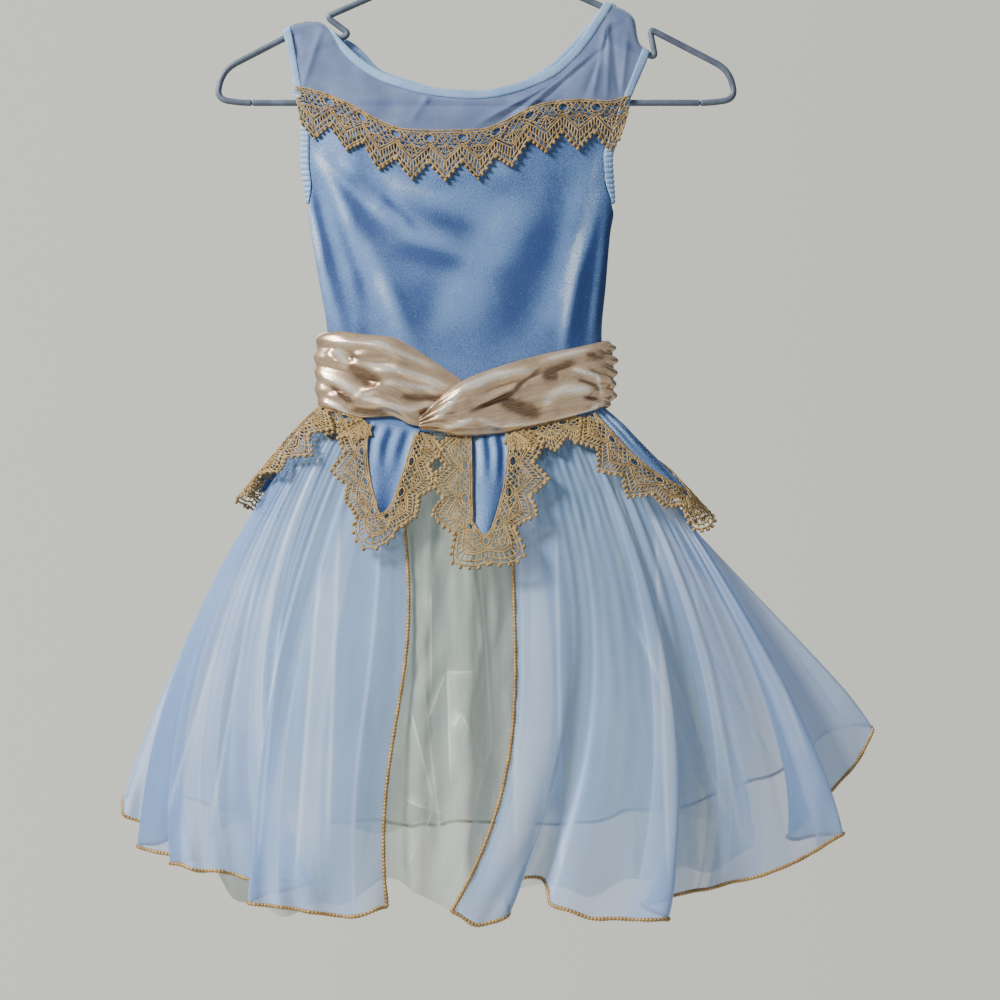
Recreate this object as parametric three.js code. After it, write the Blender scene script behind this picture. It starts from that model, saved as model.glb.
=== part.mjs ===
// A child's ballet costume on a wire hanger: stretch velvet bodice with a mesh yoke, satin sash,
// velvet petals edged with lace, a tulle overskirt open at the front, and a tulle underskirt.
// Millimetres. X to the wearer's left, Y to the back, Z up. The origin is inside the hook's top,
// where a rail would bear. Cloth is a wall about a mid surface: every piece is a patch of such a surface.
import * as THREE from "three";

// Hanger: coated wire, all of it in the plane y = 0
const WIRE = 5;
const HOOK_RADIUS = 22;
const HOOK_TURN = { start: -0.25, sweep: 1.35 };
const COLLAR = { radius: 5.4, length: 14 };
const ARM_APART = 2.9;
const HANGER_HALF = 205.4;
const NECK_Z = -66;
const BAR_Z = -194.4;
const SHOULDER_END_Z = -168;
const NOTCH = { tip: [119.5, -125.6], root: [101, -139.5], seat: [143.5, -158.4], lip: [138.8, -135.2] };

// Cloth thicknesses, and the gap that is kept between pieces
const GAP = 0.3;
const SEAM_GAP = 0.7;
const GATHER_GAP = 0.9;
const VELVET = 1.2;
const MESH = 1;
const BINDING = 1.6;
const SATIN = 1.2;
const LACE = 1;
const TULLE = 1;
const ROLLED = 1.8;

// Bodice and waist
const BINDING_WIDTH = 7;
const ARMPIT_Z = -275;
const SEAM_Z = -439;
const SEAM_DIP = 21;
const SEAM_DIP_BACK = 4;
const CROSSING_LIFT = 4;
const SASH_REST = 2;
const WAIST = { centre: -9, half: 112, front: 17, back: 13 };

// Skirt
const HEM = { centre: 14, half: 282, front: 98, back: 62 };
const UNDER_INSET = 2.2;
const FOLD_START = 1.8;
const ROLLED_WIDTH = 2.6;
const NECK_LACE_WIDTH = 40;
const LACE_LAP = 3;
const PETAL_REST = 1.5;
const PETAL_STAND = 2;
const PETAL_FLARE = 42;
const LACE_REPEAT = 27;

// Half outline of the body at each height: left and right edges, how far the middle of the front and
// of the back stand out, the gap at the open edges, and the power that rounds the section's sides.
const BODY = [
  { z: -470, left: -121, right: 103, front: 16, back: 12, gap: 0.2, round: 0.5 },
  { z: -432, left: -120, right: 102.4, front: 16, back: 12, gap: 0.2, round: 0.5 },
  { z: -380, left: -118.4, right: 100, front: 15, back: 11, gap: 0.2, round: 0.5 },
  { z: -340, left: -124.4, right: 103.4, front: 15, back: 11, gap: 0.2, round: 0.6 },
  { z: -300, left: -131.2, right: 106.8, front: 14, back: 10, gap: 0.2, round: 0.7 },
  { z: -272, left: -136, right: 111, front: 14, back: 10, gap: 0.4, round: 0.8 },
  { z: -240, left: -140, right: 109.2, front: 13, back: 9, gap: 2.6, round: 1 },
  { z: -212, left: -139.6, right: 118.4, front: 12, back: 8, gap: 3.2, round: 1 },
  { z: -184.8, left: -145.2, right: 126.3, front: 10, back: 7, gap: 3.2, round: 1 },
  { z: -160, left: -148.5, right: 137, front: 7, back: 5, gap: 3.2, round: 1 },
  { z: -136, left: -154.4, right: 141, front: 4, back: 3, gap: 3.2, round: 1 },
  { z: -100, left: -158, right: 141, front: 4, back: 3, gap: 3.2, round: 1 },
];

// Tops of the two shoulder straps, from the armhole to the neck
const RIDGE_LEFT = [
  { x: -154.4, z: -136 }, { x: -149, z: -133.4 }, { x: -140, z: -130.6 },
  { x: -130, z: -129.8 }, { x: -121.6, z: -131.6 }, { x: -115.2, z: -136.5 },
];
const RIDGE_RIGHT = [
  { x: 139.8, z: -153.4 }, { x: 134.4, z: -150.6 }, { x: 130.6, z: -147 }, { x: 129, z: -141 },
  { x: 126, z: -127 }, { x: 120, z: -121.3 }, { x: 112, z: -117.4 }, { x: 103.2, z: -114.2 },
];
const RIDGE_CURL = 4;

// Neck edges, from the left strap to the right one
const NECK_FRONT = [
  { x: -115.2, z: -136.5 }, { x: -99.2, z: -154 }, { x: -78, z: -170.4 }, { x: -56.8, z: -179.2 },
  { x: -35, z: -184.8 }, { x: 3.2, z: -187.7 }, { x: 26, z: -183.6 }, { x: 46, z: -176.3 },
  { x: 60.3, z: -168.4 }, { x: 71, z: -159.2 }, { x: 83.2, z: -144.8 }, { x: 94.5, z: -127.7 },
  { x: 103.2, z: -114.2 },
];
const NECK_BACK = [
  { x: -115.2, z: -136.5 }, { x: -98, z: -145.6 }, { x: -88.8, z: -153.6 }, { x: -78, z: -164.8 },
  { x: -49.6, z: -174.9 }, { x: -9.6, z: -186.4 }, { x: 22, z: -180 }, { x: 44, z: -171 },
  { x: 58, z: -162.4 }, { x: 70, z: -151.6 }, { x: 83.2, z: -138 }, { x: 94.5, z: -124.4 },
  { x: 103.2, z: -114.2 },
];

// Seam between yoke and bodice, from armhole to armhole
const YOKE_SEAM = [
  { x: -145.2, z: -184.8 }, { x: -132.2, z: -187.7 }, { x: -118, z: -192 }, { x: -99.4, z: -200.6 },
  { x: -78, z: -213.4 }, { x: -56.8, z: -221.3 }, { x: -35.2, z: -223.2 }, { x: 3.2, z: -222 },
  { x: 17.6, z: -217.6 }, { x: 46, z: -203.2 }, { x: 60.3, z: -199.2 }, { x: 83.2, z: -196.8 },
  { x: 103.2, z: -197.6 }, { x: 123.2, z: -192 },
];

// Long soft folds of the velvet: where each starts and ends, its height and its half width
const VELVET_FOLDS = [
  { x0: -118, z0: -222, x1: -8, z1: -317, rise: 3, width: 17 },
  { x0: -126, z0: -232, x1: -46, z1: -388, rise: 2.6, width: 16 },
  { x0: -131, z0: -250, x1: -94, z1: -380, rise: -1.6, width: 12 },
  { x0: 101, z0: -246, x1: 67, z1: -392, rise: 2.4, width: 14 },
];

// Creases of the sash bands: height across the band at each end, and depth
const BAND_CREASES = [
  { from: 0.2, to: 0.3, depth: 2.4, width: 0.08 },
  { from: 0.44, to: 0.52, depth: 3, width: 0.07 },
  { from: 0.72, to: 0.7, depth: 2.2, width: 0.09 },
];
const SASH_LEFT = [
  { x: -122, low: -438.6, high: -379 }, { x: -108, low: -441.4, high: -378.4 },
  { x: -88, low: -447, high: -381 },
  { x: -66, low: -446, high: -383.6 }, { x: -49, low: -453, high: -392 },
  { x: -30, low: -455, high: -404.8 },
  { x: -11, low: -441, high: -417.6 },
];
const SASH_RIGHT = [
  { x: -42, low: -456, high: -447 }, { x: -30, low: -458, high: -434 },
  { x: -10, low: -461.6, high: -418.4 },
  { x: 15, low: -460, high: -408 }, { x: 50, low: -452, high: -397.6 },
  { x: 76, low: -445.6, high: -392 },
  { x: 105, low: -437, high: -384.8 },
];
const SASH_BACK = [
  { x: -122, low: -439.5, high: -379 }, { x: -9, low: -443.5, high: -384 },
  { x: 105, low: -438, high: -384.8 },
];

// Velvet petals: their ends on the waist seam and at their foot, as turns from the centre front,
// how far down the skirt they reach, and the width of their lace
const PETALS = [
  { name: "left", top: [-0.34, -0.245], foot: [-0.32, -0.275], drop: 0.19, bow: 1.4, lift: 2.7, lace: 30 },
  { name: "centre_left", top: [-0.115, -0.05], foot: [-0.076, -0.058], drop: 0.18, bow: 1, lift: 0.2, lace: 30 },
  { name: "centre", top: [0.003, 0.05], foot: [-0.002, 0.019], drop: 0.215, bow: 1, lift: 0.5, lace: 36 },
  { name: "right", top: [0.172, 0.33], foot: [0.235, 0.27], drop: 0.24, bow: 2.4, lift: 1.2, lace: 33 },
  { name: "back_left", top: [-0.465, -0.39], foot: [-0.44, -0.41], drop: 0.2, bow: 1.2, lift: 0, lace: 30 },
  { name: "back_right", top: [0.385, 0.465], foot: [0.41, 0.44], drop: 0.21, bow: 1.2, lift: 0, lace: 30 },
];
const ARCH_LACES = [
  { name: "left", from: -0.205, to: -0.122, width: 19 },
  { name: "right", from: 0.058, to: 0.148, width: 19 },
];

// Hem of the overskirt, from each front edge to the centre back: the folds lap over each other
const HEM_LEFT = [
  { x: -65.6, y: -104, z: -812 }, { x: -94.4, y: -112, z: -817 }, { x: -127.8, y: -108, z: -814 },
  { x: -162.5, y: -102, z: -808 }, { x: -142, y: -84, z: -804 }, { x: -124.9, y: -75, z: -802 },
  { x: -175.3, y: -62, z: -799 }, { x: -234.9, y: -50, z: -791 }, { x: -220.6, y: -40, z: -790 },
  { x: -264.8, y: -26, z: -784 }, { x: -239.2, y: -8, z: -780 }, { x: -281.8, y: 8, z: -766 },
  { x: -282.2, y: 28, z: -752 }, { x: -250, y: 44, z: -755 }, { x: -216, y: 36, z: -764 },
  { x: -186, y: 62, z: -770 }, { x: -148, y: 68, z: -774 }, { x: -120, y: 48, z: -778 },
  { x: -86, y: 72, z: -782 }, { x: -52, y: 58, z: -784 }, { x: -20, y: 70, z: -784 },
  { x: 13.4, y: 70, z: -784 },
];
const HEM_RIGHT = [
  { x: -15.8, y: -118, z: -812 }, { x: 2.5, y: -121, z: -821 }, { x: 21.4, y: -108, z: -816 },
  { x: 28.2, y: -86, z: -800 }, { x: 50, y: -86, z: -796 }, { x: 54, y: -106, z: -807 },
  { x: 85, y: -114, z: -817 }, { x: 139.4, y: -112, z: -818 }, { x: 128.9, y: -92, z: -814 },
  { x: 148.7, y: -79, z: -810 }, { x: 190.3, y: -68, z: -804 }, { x: 245.2, y: -50, z: -790 },
  { x: 287.4, y: -32, z: -772 }, { x: 249.5, y: -10, z: -779 }, { x: 287.6, y: 6, z: -745 },
  { x: 324, y: 25, z: -697 }, { x: 289.6, y: 47, z: -705 }, { x: 250, y: 42, z: -736 },
  { x: 214, y: 62, z: -752 }, { x: 172, y: 50, z: -766 }, { x: 136, y: 74, z: -774 },
  { x: 96, y: 58, z: -780 },
  { x: 52, y: 70, z: -784 }, { x: 14.6, y: 70, z: -784 },
];

// Height of the hem round the skirt, without its folds
const HEM_HEIGHT = [
  { a: -0.5, z: -784 }, { a: -0.35, z: -768 }, { a: -0.25, z: -764 }, { a: -0.18, z: -794 },
  { a: -0.08, z: -814 },
  { a: 0.02, z: -818 }, { a: 0.1, z: -816 }, { a: 0.18, z: -794 }, { a: 0.25, z: -742 },
  { a: 0.3, z: -706 },
  { a: 0.37, z: -748 }, { a: 0.5, z: -784 },
];

// Front edges of the opening, as turns from the centre front: at the waist and at the hem
const OPEN_LEFT = { waist: -0.077, hem: -0.0455, swing: 1.8 };
const OPEN_RIGHT = { waist: 0.05, hem: 0.0065, swing: 3.4 };
const BACK_SEAM = 0.499;

// Hem of the underskirt, once round from the centre back
const HEM_UNDER = [
  { x: 14, y: 44, z: -778 }, { x: -50, y: 40, z: -778 }, { x: -110, y: 30, z: -778 },
  { x: -170, y: 34, z: -776 },
  { x: -214, y: 18, z: -782 }, { x: -208, y: -14, z: -803 }, { x: -164, y: -38, z: -826 },
  { x: -118, y: -50, z: -824 }, { x: -86, y: -64, z: -814 }, { x: -62, y: -80, z: -804 },
  { x: -44, y: -90, z: -808 }, { x: -26, y: -86, z: -812 }, { x: -6, y: -96, z: -815 },
  { x: 14, y: -74, z: -812 },
  { x: 60, y: -66, z: -808 }, { x: 118, y: -62, z: -804 }, { x: 176, y: -46, z: -798 },
  { x: 212, y: -26, z: -786 }, { x: 222, y: 0, z: -774 }, { x: 196, y: 26, z: -770 },
  { x: 130, y: 34, z: -774 },
  { x: 72, y: 38, z: -776 },
];

const { lerp, clamp, smoothstep } = THREE.MathUtils;
const TURN = 2 * Math.PI;
const vec = (x, y, z) => new THREE.Vector3(x, y, z);
const steps = (n) => Array.from({ length: n + 1 }, (_, i) => i / n);

// A column of a table at a place in its key column, on straight lines eased by neighbouring slopes
function column(table, key, name, at) {
  const rows = table[0][key] <= table[table.length - 1][key] ? table : [...table].reverse();
  let i = 0;
  while (i < rows.length - 2 && at > rows[i + 1][key]) i++;
  const [a, b] = [rows[i], rows[i + 1]];
  const span = b[key] - a[key];
  const t = clamp((at - a[key]) / span, 0, 1);
  const slope = (j) => {
    if (j === 0 || j === rows.length - 1) return (b[name] - a[name]) / span;
    const [p, q, r] = [rows[j - 1], rows[j], rows[j + 1]];
    const before = (q[name] - p[name]) / (q[key] - p[key]);
    const after = (r[name] - q[name]) / (r[key] - q[key]);
    return before * after <= 0 ? 0 : (2 * before * after) / (before + after);
  };
  const [t2, t3] = [t * t, t * t * t];
  return (2 * t3 - 3 * t2 + 1) * a[name] + (t3 - 2 * t2 + t) * span * slope(i)
    + (3 * t2 - 2 * t3) * b[name] + (t3 - t2) * span * slope(i + 1);
}

// A smooth curve through a table's points; places are shares of its length
function curveOf(table, closed = false) {
  const points = table.map((row) => vec(row.x, row.y ?? 0, row.z));
  return new THREE.CatmullRomCurve3(points, closed, "centripetal");
}

function distanceTo(points, x, z) {
  let best = Infinity;
  for (let i = 0; i < points.length - 1; i++) {
    const [a, b] = [points[i], points[i + 1]];
    const [dx, dz] = [b.x - a.x, b.z - a.z];
    const t = clamp(((x - a.x) * dx + (z - a.z) * dz) / (dx * dx + dz * dz), 0, 1);
    best = Math.min(best, Math.hypot(x - a.x - t * dx, z - a.z - t * dz));
  }
  return best;
}

const FRONT = -1;
const BACK = 1;
const seamZ = (x) => column(YOKE_SEAM, "x", "z", x);

// Mid surface of the body. e runs from -1 at the left edge to 1 at the right one; the section is
// a lens, sine spaced, and curls in to the plane y = 0 along the tops of the straps.
function bodyPoint(side, e, z, offset = 0) {
  const row = (name) => column(BODY, "z", name, z);
  const [left, right] = [row("left"), row("right")];
  const half = (right - left) / 2;
  const x = (left + right) / 2 + (half + offset) * Math.sin((e * Math.PI) / 2);
  const open = Math.max(0, 1 - Math.sin((e * Math.PI) / 2) ** 2);
  const stand = row(side === FRONT ? "front" : "back") + offset;
  const depth = row("gap") + VELVET / 2 + stand * open ** row("round") - GAP / 2;
  const near = Math.min(distanceTo(RIDGE_LEFT, x, z), distanceTo(RIDGE_RIGHT, x, z)) / RIDGE_CURL;
  const curl = near < 1 ? Math.sqrt(Math.max(0, 1 - (1 - near) ** 2)) : 1;
  return vec(x, side * (GAP / 2 + 0.02 + depth * curl), z);
}

// The same surface by its place in the front view
function bodyAt(side, x, z, offset = 0) {
  const [left, right] = [column(BODY, "z", "left", z), column(BODY, "z", "right", z)];
  const share = clamp((2 * x - left - right) / (right - left), -1, 1);
  return bodyPoint(side, (2 * Math.asin(share)) / Math.PI, z, offset);
}

// A closed wall about a mid surface. surface(u, v) gives points; us and vs are where it is sampled;
// offset moves it along its normal, and ring joins its two u ends.
function wall(surface, us, vs, thickness, { offset = 0, ring = false, flip = false } = {}) {
  const columns = ring ? us.slice(0, -1) : us;
  const [n, m] = [columns.length, vs.length];
  const small = 1e-3;
  const normalAt = (u, v) => {
    const [u0, u1] = ring
      ? [u - small, u + small]
      : [Math.max(us[0], u - small), Math.min(us.at(-1), u + small)];
    const [v0, v1] = [Math.max(vs[0], v - small), Math.min(vs.at(-1), v + small)];
    const along = surface(u1, v).sub(surface(u0, v));
    const across = surface(u, v1).sub(surface(u, v0));
    return along.cross(across).normalize().multiplyScalar(flip ? -1 : 1);
  };
  const position = [];
  for (const face of [1, -1])
    for (const v of vs)
      for (const u of columns) {
        const point = surface(u, v).addScaledVector(normalAt(u, v), offset + (face * thickness) / 2);
        position.push(point.x, point.y, point.z);
      }
  const at = (face, i, j) => face * n * m + j * n + (i % n);
  const index = [];
  const quad = (a, b, c, d) => (flip ? index.push(a, c, b, a, d, c) : index.push(a, b, c, a, c, d));
  const spans = ring ? n : n - 1;
  for (let j = 0; j < m - 1; j++)
    for (let i = 0; i < spans; i++) {
      quad(at(0, i, j), at(0, i + 1, j), at(0, i + 1, j + 1), at(0, i, j + 1));
      quad(at(1, i, j), at(1, i, j + 1), at(1, i + 1, j + 1), at(1, i + 1, j));
    }
  for (let i = 0; i < spans; i++) {
    quad(at(1, i, 0), at(1, i + 1, 0), at(0, i + 1, 0), at(0, i, 0));
    quad(at(0, i, m - 1), at(0, i + 1, m - 1), at(1, i + 1, m - 1), at(1, i, m - 1));
  }
  if (!ring)
    for (let j = 0; j < m - 1; j++) {
      quad(at(1, 0, j + 1), at(1, 0, j), at(0, 0, j), at(0, 0, j + 1));
      quad(at(1, n - 1, j), at(1, n - 1, j + 1), at(0, n - 1, j + 1), at(0, n - 1, j));
    }
  return closed(position, index);
}

function closed(position, index) {
  const geometry = new THREE.BufferGeometry();
  geometry.setAttribute("position", new THREE.Float32BufferAttribute(position, 3));
  geometry.setIndex(index);
  geometry.computeVertexNormals();
  return geometry;
}

const costume = new THREE.Group();
const cloth = (color, roughness) => ({ color, roughness, metalness: 0 });
const FINISH = {
  velvet: cloth(0x698cc3, 0.75),
  mesh: cloth(0xa0afcd, 0.8),
  binding: cloth(0xa5c8e1, 0.7),
  satin: cloth(0xcdb4a0, 0.4),
  lace: cloth(0xc8af82, 0.8),
  overskirt: cloth(0xb9cde6, 0.85),
  underskirt: cloth(0xcdd7cd, 0.85),
  rolled: cloth(0xaf8c4b, 0.6),
  wire: { color: 0x5f6978, roughness: 0.45, metalness: 0.2 },
};

function add(name, geometry, finish) {
  const piece = new THREE.Mesh(geometry, new THREE.MeshStandardMaterial(FINISH[finish]));
  piece.name = name;
  costume.add(piece);
}

// Hanger

// A round wire bent through corners, each with its own bend radius
function bentWire(corners) {
  const path = new THREE.CurvePath();
  let from = vec(corners[0].x, 0, corners[0].z);
  corners.forEach((corner, i) => {
    const point = vec(corner.x, 0, corner.z);
    if (i === 0) return;
    const next = corners[i + 1];
    const bend = corner.bend ?? 0;
    const before = point.clone().sub(from).normalize();
    const start = point.clone().addScaledVector(before, -bend);
    path.add(new THREE.LineCurve3(from, next ? start : point));
    if (!next) return;
    const end = point.clone().addScaledVector(vec(next.x, 0, next.z).sub(point).normalize(), bend);
    path.add(new THREE.QuadraticBezierCurve3(start, point, end));
    from = end;
  });
  const bends = path.curves.flatMap((curve, i) => {
    const count = curve.isLineCurve3 ? 1 : 3;
    const points = curve.getPoints(count);
    return i === 0 ? points : points.slice(1);
  });
  return tube(bends, WIRE / 2, 8);
}

// A closed round tube in the plane y = 0 through a list of points
function tube(points, radius, sides) {
  const surface = (u, v) => {
    const i = Math.min(Math.floor(u), points.length - 1);
    const ahead = points[Math.min(i + 1, points.length - 1)].clone().sub(points[i]).normalize();
    const behind = points[i].clone().sub(points[Math.max(i - 1, 0)]).normalize();
    let way = ahead.clone().add(behind).normalize();
    if (ahead.lengthSq() === 0) way = behind;
    if (behind.lengthSq() === 0) way = ahead;
    const widen = 1 / Math.max(0.5, way.dot(ahead.lengthSq() ? ahead : behind));
    const out = vec(-way.z, 0, way.x);
    return points[i].clone().addScaledVector(out, Math.cos(v) * radius * widen)
      .add(vec(0, Math.sin(v) * radius, 0));
  };
  const position = [];
  points.forEach((_, i) => {
    for (let k = 0; k < sides; k++) position.push(...surface(i, (k / sides) * TURN).toArray());
  });
  const index = [];
  for (let i = 0; i < points.length - 1; i++)
    for (let k = 0; k < sides; k++) {
      const [a, b] = [i * sides + k, i * sides + ((k + 1) % sides)];
      index.push(a, b + sides, b, a, a + sides, b + sides);
    }
  const last = (points.length - 1) * sides;
  for (let k = 1; k < sides - 1; k++) {
    index.push(0, k, k + 1);
    index.push(last, last + k + 1, last + k);
  }
  return closed(position, index);
}

function buildHanger() {
  const collarTop = NECK_Z + COLLAR.length;
  const hookPoints = [vec(0, 0, collarTop + GAP), vec(0, 0, -2 * HOOK_RADIUS + 10)];
  for (const share of steps(14)) {
    const angle = (HOOK_TURN.start + share * HOOK_TURN.sweep) * Math.PI;
    const [across, up] = [HOOK_RADIUS * Math.cos(angle), HOOK_RADIUS * Math.sin(angle)];
    hookPoints.push(vec(across, 0, WIRE / 2 - HOOK_RADIUS + up));
  }
  add("hanger_hook", tube(hookPoints, WIRE / 2, 8), "wire");
  add("hanger_collar", tube([vec(0, 0, NECK_Z), vec(0, 0, collarTop)], COLLAR.radius, 10), "wire");
  const { tip, root, seat, lip } = NOTCH;
  const shoulder = [HANGER_HALF - 3, HANGER_HALF + 2.4];
  const armStart = NECK_Z - GAP;
  for (const [name, hand] of [["left", -1], ["right", 1]]) {
    const corners = [
      { x: hand * ARM_APART, z: armStart },
      { x: hand * ARM_APART, z: armStart - 8, bend: 3 },
      { x: hand * tip[0], z: tip[1], bend: 5 },
      { x: hand * root[0], z: root[1], bend: 5 },
      { x: hand * seat[0], z: seat[1], bend: 5 },
      { x: hand * lip[0], z: lip[1], bend: 5 },
      { x: hand * shoulder[0], z: SHOULDER_END_Z, bend: 12 },
      { x: hand * shoulder[1], z: BAR_Z + 3, bend: 10 },
      { x: hand * (HANGER_HALF - 18), z: BAR_Z, bend: 8 },
      { x: hand * (HANGER_HALF - 26), z: BAR_Z },
    ];
    add("hanger_arm_" + name, bentWire(corners), "wire");
  }
  const reach = HANGER_HALF - 26 - GAP;
  add("hanger_bar", tube([vec(-reach, 0, BAR_Z), vec(reach, 0, BAR_Z)], WIRE / 2, 8), "wire");
}

// Yoke and its bindings

// Inner edge of the neck binding: the neck edge moved into the cloth, running into the straps' tops
const STRAP_REACH = 0.14;

function neckInner(table, s, width) {
  const curve = curveOf(table);
  const point = curve.getPoint(s);
  const way = curve.getTangent(s);
  const square = vec(way.z, 0, -way.x);
  if (square.z > 0) square.negate();
  const [intoLeft, intoRight] = [vec(-1, 0, 0.75), vec(1, 0, -0.25)];
  const left = 1 - smoothstep(s, 0, STRAP_REACH);
  const right = smoothstep(s, 1 - STRAP_REACH, 1);
  const inward = square.multiplyScalar(1 - left - right)
    .addScaledVector(intoLeft, left).addScaledVector(intoRight, right);
  return point.addScaledVector(inward.normalize(), width);
}

// How far the armhole bindings bulge outward along their middle
const EDGE_CROWN = 0.5;

// A strap's top between two distances from its armhole end
function alongRidge(table, distance) {
  const curve = curveOf(table);
  return curve.getPointAt(clamp(distance / curve.getLength(), 0, 1));
}

function buildYoke(side, name) {
  const neck = side === FRONT ? NECK_FRONT : NECK_BACK;
  const onBody = (point) => bodyAt(side, point.x, point.z);
  const curve = curveOf(neck);
  const ends = [0, 0.006, 0.02, 0.045];
  const middle = steps(14).map((t) => lerp(0.09, 0.91, t));
  const neckSteps = [...ends, ...middle, ...ends.map((t) => 1 - t).reverse()];
  const flip = side === BACK;
  const binding = (s, v) => onBody(neckInner(neck, s, BINDING_WIDTH).lerp(curve.getPoint(s), v));
  add("neck_binding_" + name, wall(binding, neckSteps, [0, 1], BINDING, { flip }), "binding");

  const ridges = [RIDGE_LEFT, RIDGE_RIGHT];
  const edgeSteps = [0, 0.35, 0.7, 0.9, 0.97, 1];
  ridges.forEach((ridge, i) => {
    const top = (width) => alongRidge(ridge, width);
    const bottom = (width) => {
      const x = i ? YOKE_SEAM.at(-1).x - width : YOKE_SEAM[0].x + width;
      return vec(x, 0, seamZ(x));
    };
    const edge = (w, v) => {
      const width = w * BINDING_WIDTH;
      const point = onBody(bottom(width).lerp(top(width), v));
      point.y += side * EDGE_CROWN * 4 * w * (1 - w) * smoothstep(v, 0, 0.3);
      return point;
    };
    const strip = (w, v) => edge(i ? 1 - w : w, v);
    add("armhole_binding_" + name + (i ? "_right" : "_left"),
      wall(strip, [0, 0.5, 1], edgeSteps, BINDING, { flip }), "binding");
  });

  // The mesh lies between the bindings: straight lines from the seam to the straps and the neck
  const inset = BINDING_WIDTH + SEAM_GAP;
  const lengths = [RIDGE_LEFT, RIDGE_RIGHT].map((ridge) => curveOf(ridge).getLength());
  // The first and last shares of the mesh's upper edge run along the straps; it clears their corners
  const STRAP = 0.07;
  const ease = 1.3;
  const topOf = (u) => {
    if (u < STRAP) return alongRidge(RIDGE_LEFT, lerp(inset, lengths[0] - inset - ease, u / STRAP));
    if (u > 1 - STRAP) {
      const share = (u - 1 + STRAP) / STRAP;
      return alongRidge(RIDGE_RIGHT, lerp(lengths[1] - inset - ease, inset, share));
    }
    const s = (u - STRAP) / (1 - 2 * STRAP);
    return neckInner(neck, s, inset + ease * (1 - smoothstep(Math.min(s, 1 - s), 0.02, 0.15)));
  };
  const bottomOf = (u) => {
    const [left, right] = [YOKE_SEAM[0].x + inset, YOKE_SEAM.at(-1).x - inset];
    const x = lerp(left, right, u);
    return vec(x, 0, seamZ(x));
  };
  const mesh = (u, v) => onBody(bottomOf(u).lerp(topOf(u), v));
  const us = [0, STRAP / 3, (2 * STRAP) / 3, ...neckSteps.map((t) => lerp(STRAP, 1 - STRAP, t)),
    1 - (2 * STRAP) / 3, 1 - STRAP / 3, 1];
  const vs = [0, 0.25, 0.5, 0.75, 0.92, 0.96, 0.985, 1];
  add("yoke_" + name, wall(mesh, us, vs, MESH, { flip }), "mesh");
}

// Bodice

function foldRise(x, z) {
  let rise = 0;
  for (const fold of VELVET_FOLDS) {
    const [dx, dz] = [fold.x1 - fold.x0, fold.z1 - fold.z0];
    const length = Math.hypot(dx, dz);
    const t = ((x - fold.x0) * dx + (z - fold.z0) * dz) / length ** 2;
    const away = ((x - fold.x0) * dz - (z - fold.z0) * dx) / length;
    const ends = smoothstep(t, -0.1, 0.25) * (1 - smoothstep(t, 0.7, 1.1));
    rise += fold.rise * ends * Math.exp(-((away / fold.width) ** 2));
  }
  return rise;
}

const waistDip = (front, share) => (front ? SEAM_DIP : SEAM_DIP_BACK) * share ** 2;
const waistZ = (e, side) => SEAM_Z - waistDip(side === FRONT, Math.cos((e * Math.PI) / 2));

// Width of the gathered binding along the velvet's armhole, from the armpit up
const gatherWidth = (z) => BINDING_WIDTH * smoothstep(z, -286, -256);

function edgeShare(z, width) {
  const half = (column(BODY, "z", "right", z) - column(BODY, "z", "left", z)) / 2;
  return (2 * Math.asin(clamp(1 - width / half, -1, 1))) / Math.PI;
}

function buildBodice(side, name) {
  const flip = side === BACK;
  const shareAt = (z) => {
    const width = gatherWidth(z);
    return edgeShare(z, width > 0.01 ? width + GATHER_GAP : 0);
  };
  const topZ = (e) => {
    let z = YOKE_SEAM[0].z;
    for (let k = 0; k < 8; k++) z = seamZ(bodyPoint(side, e * shareAt(z), z).x);
    return z - SEAM_GAP;
  };
  const panel = (e, v) => {
    const z = lerp(waistZ(e, side), topZ(e), v);
    const point = bodyPoint(side, e * shareAt(z), z);
    const calm = 1 - Math.abs(e) ** 6;
    const rise = foldRise(side === FRONT ? point.x : -point.x - 18, z);
    point.y += side * rise * calm * smoothstep(z, -400, -370);
    return point;
  };
  const count = side === FRONT ? 22 : 18;
  const es = steps(count).map((t) => 2 * t - 1);
  // Rows are closer beside the armholes, whose edges curve
  const armhole = side === FRONT ? 0.56 : 0.6;
  const vs = [...steps(6).slice(0, -1).map((t) => armhole * t), ...steps(8).map((t) => lerp(armhole, 1, t))];
  add("bodice_" + name, wall(panel, es, vs, VELVET, { flip }), "velvet");

  for (const [hand, word] of [[-1, "left"], [1, "right"]]) {
    const strip = (w, v) => {
      const across = hand < 0 ? 1 - w : w;
      const edge = hand < 0 ? YOKE_SEAM[0].x : YOKE_SEAM.at(-1).x;
      const z = lerp(ARMPIT_Z, seamZ(edge - hand * (1 - across) * BINDING_WIDTH) - SEAM_GAP, v);
      const inner = edgeShare(z, Math.max(gatherWidth(z), 1));
      return bodyPoint(side, hand * lerp(inner, 1, across), z);
    };
    add("armhole_gather_" + name + "_" + word, wall(strip, [0, 1], steps(9), BINDING, { flip }), "binding");
  }
}

// A strip of lace: one tooth and one eyelet in each repeat. place(s, w) puts a point at s along the
// strip and w from its upper edge. Each repeat is a ring of six faces between its rim and its eyelet.
const EYELET_TURNS = [1.25, 1.5, 1.75, 2.25, 2.5, 2.75];

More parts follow.
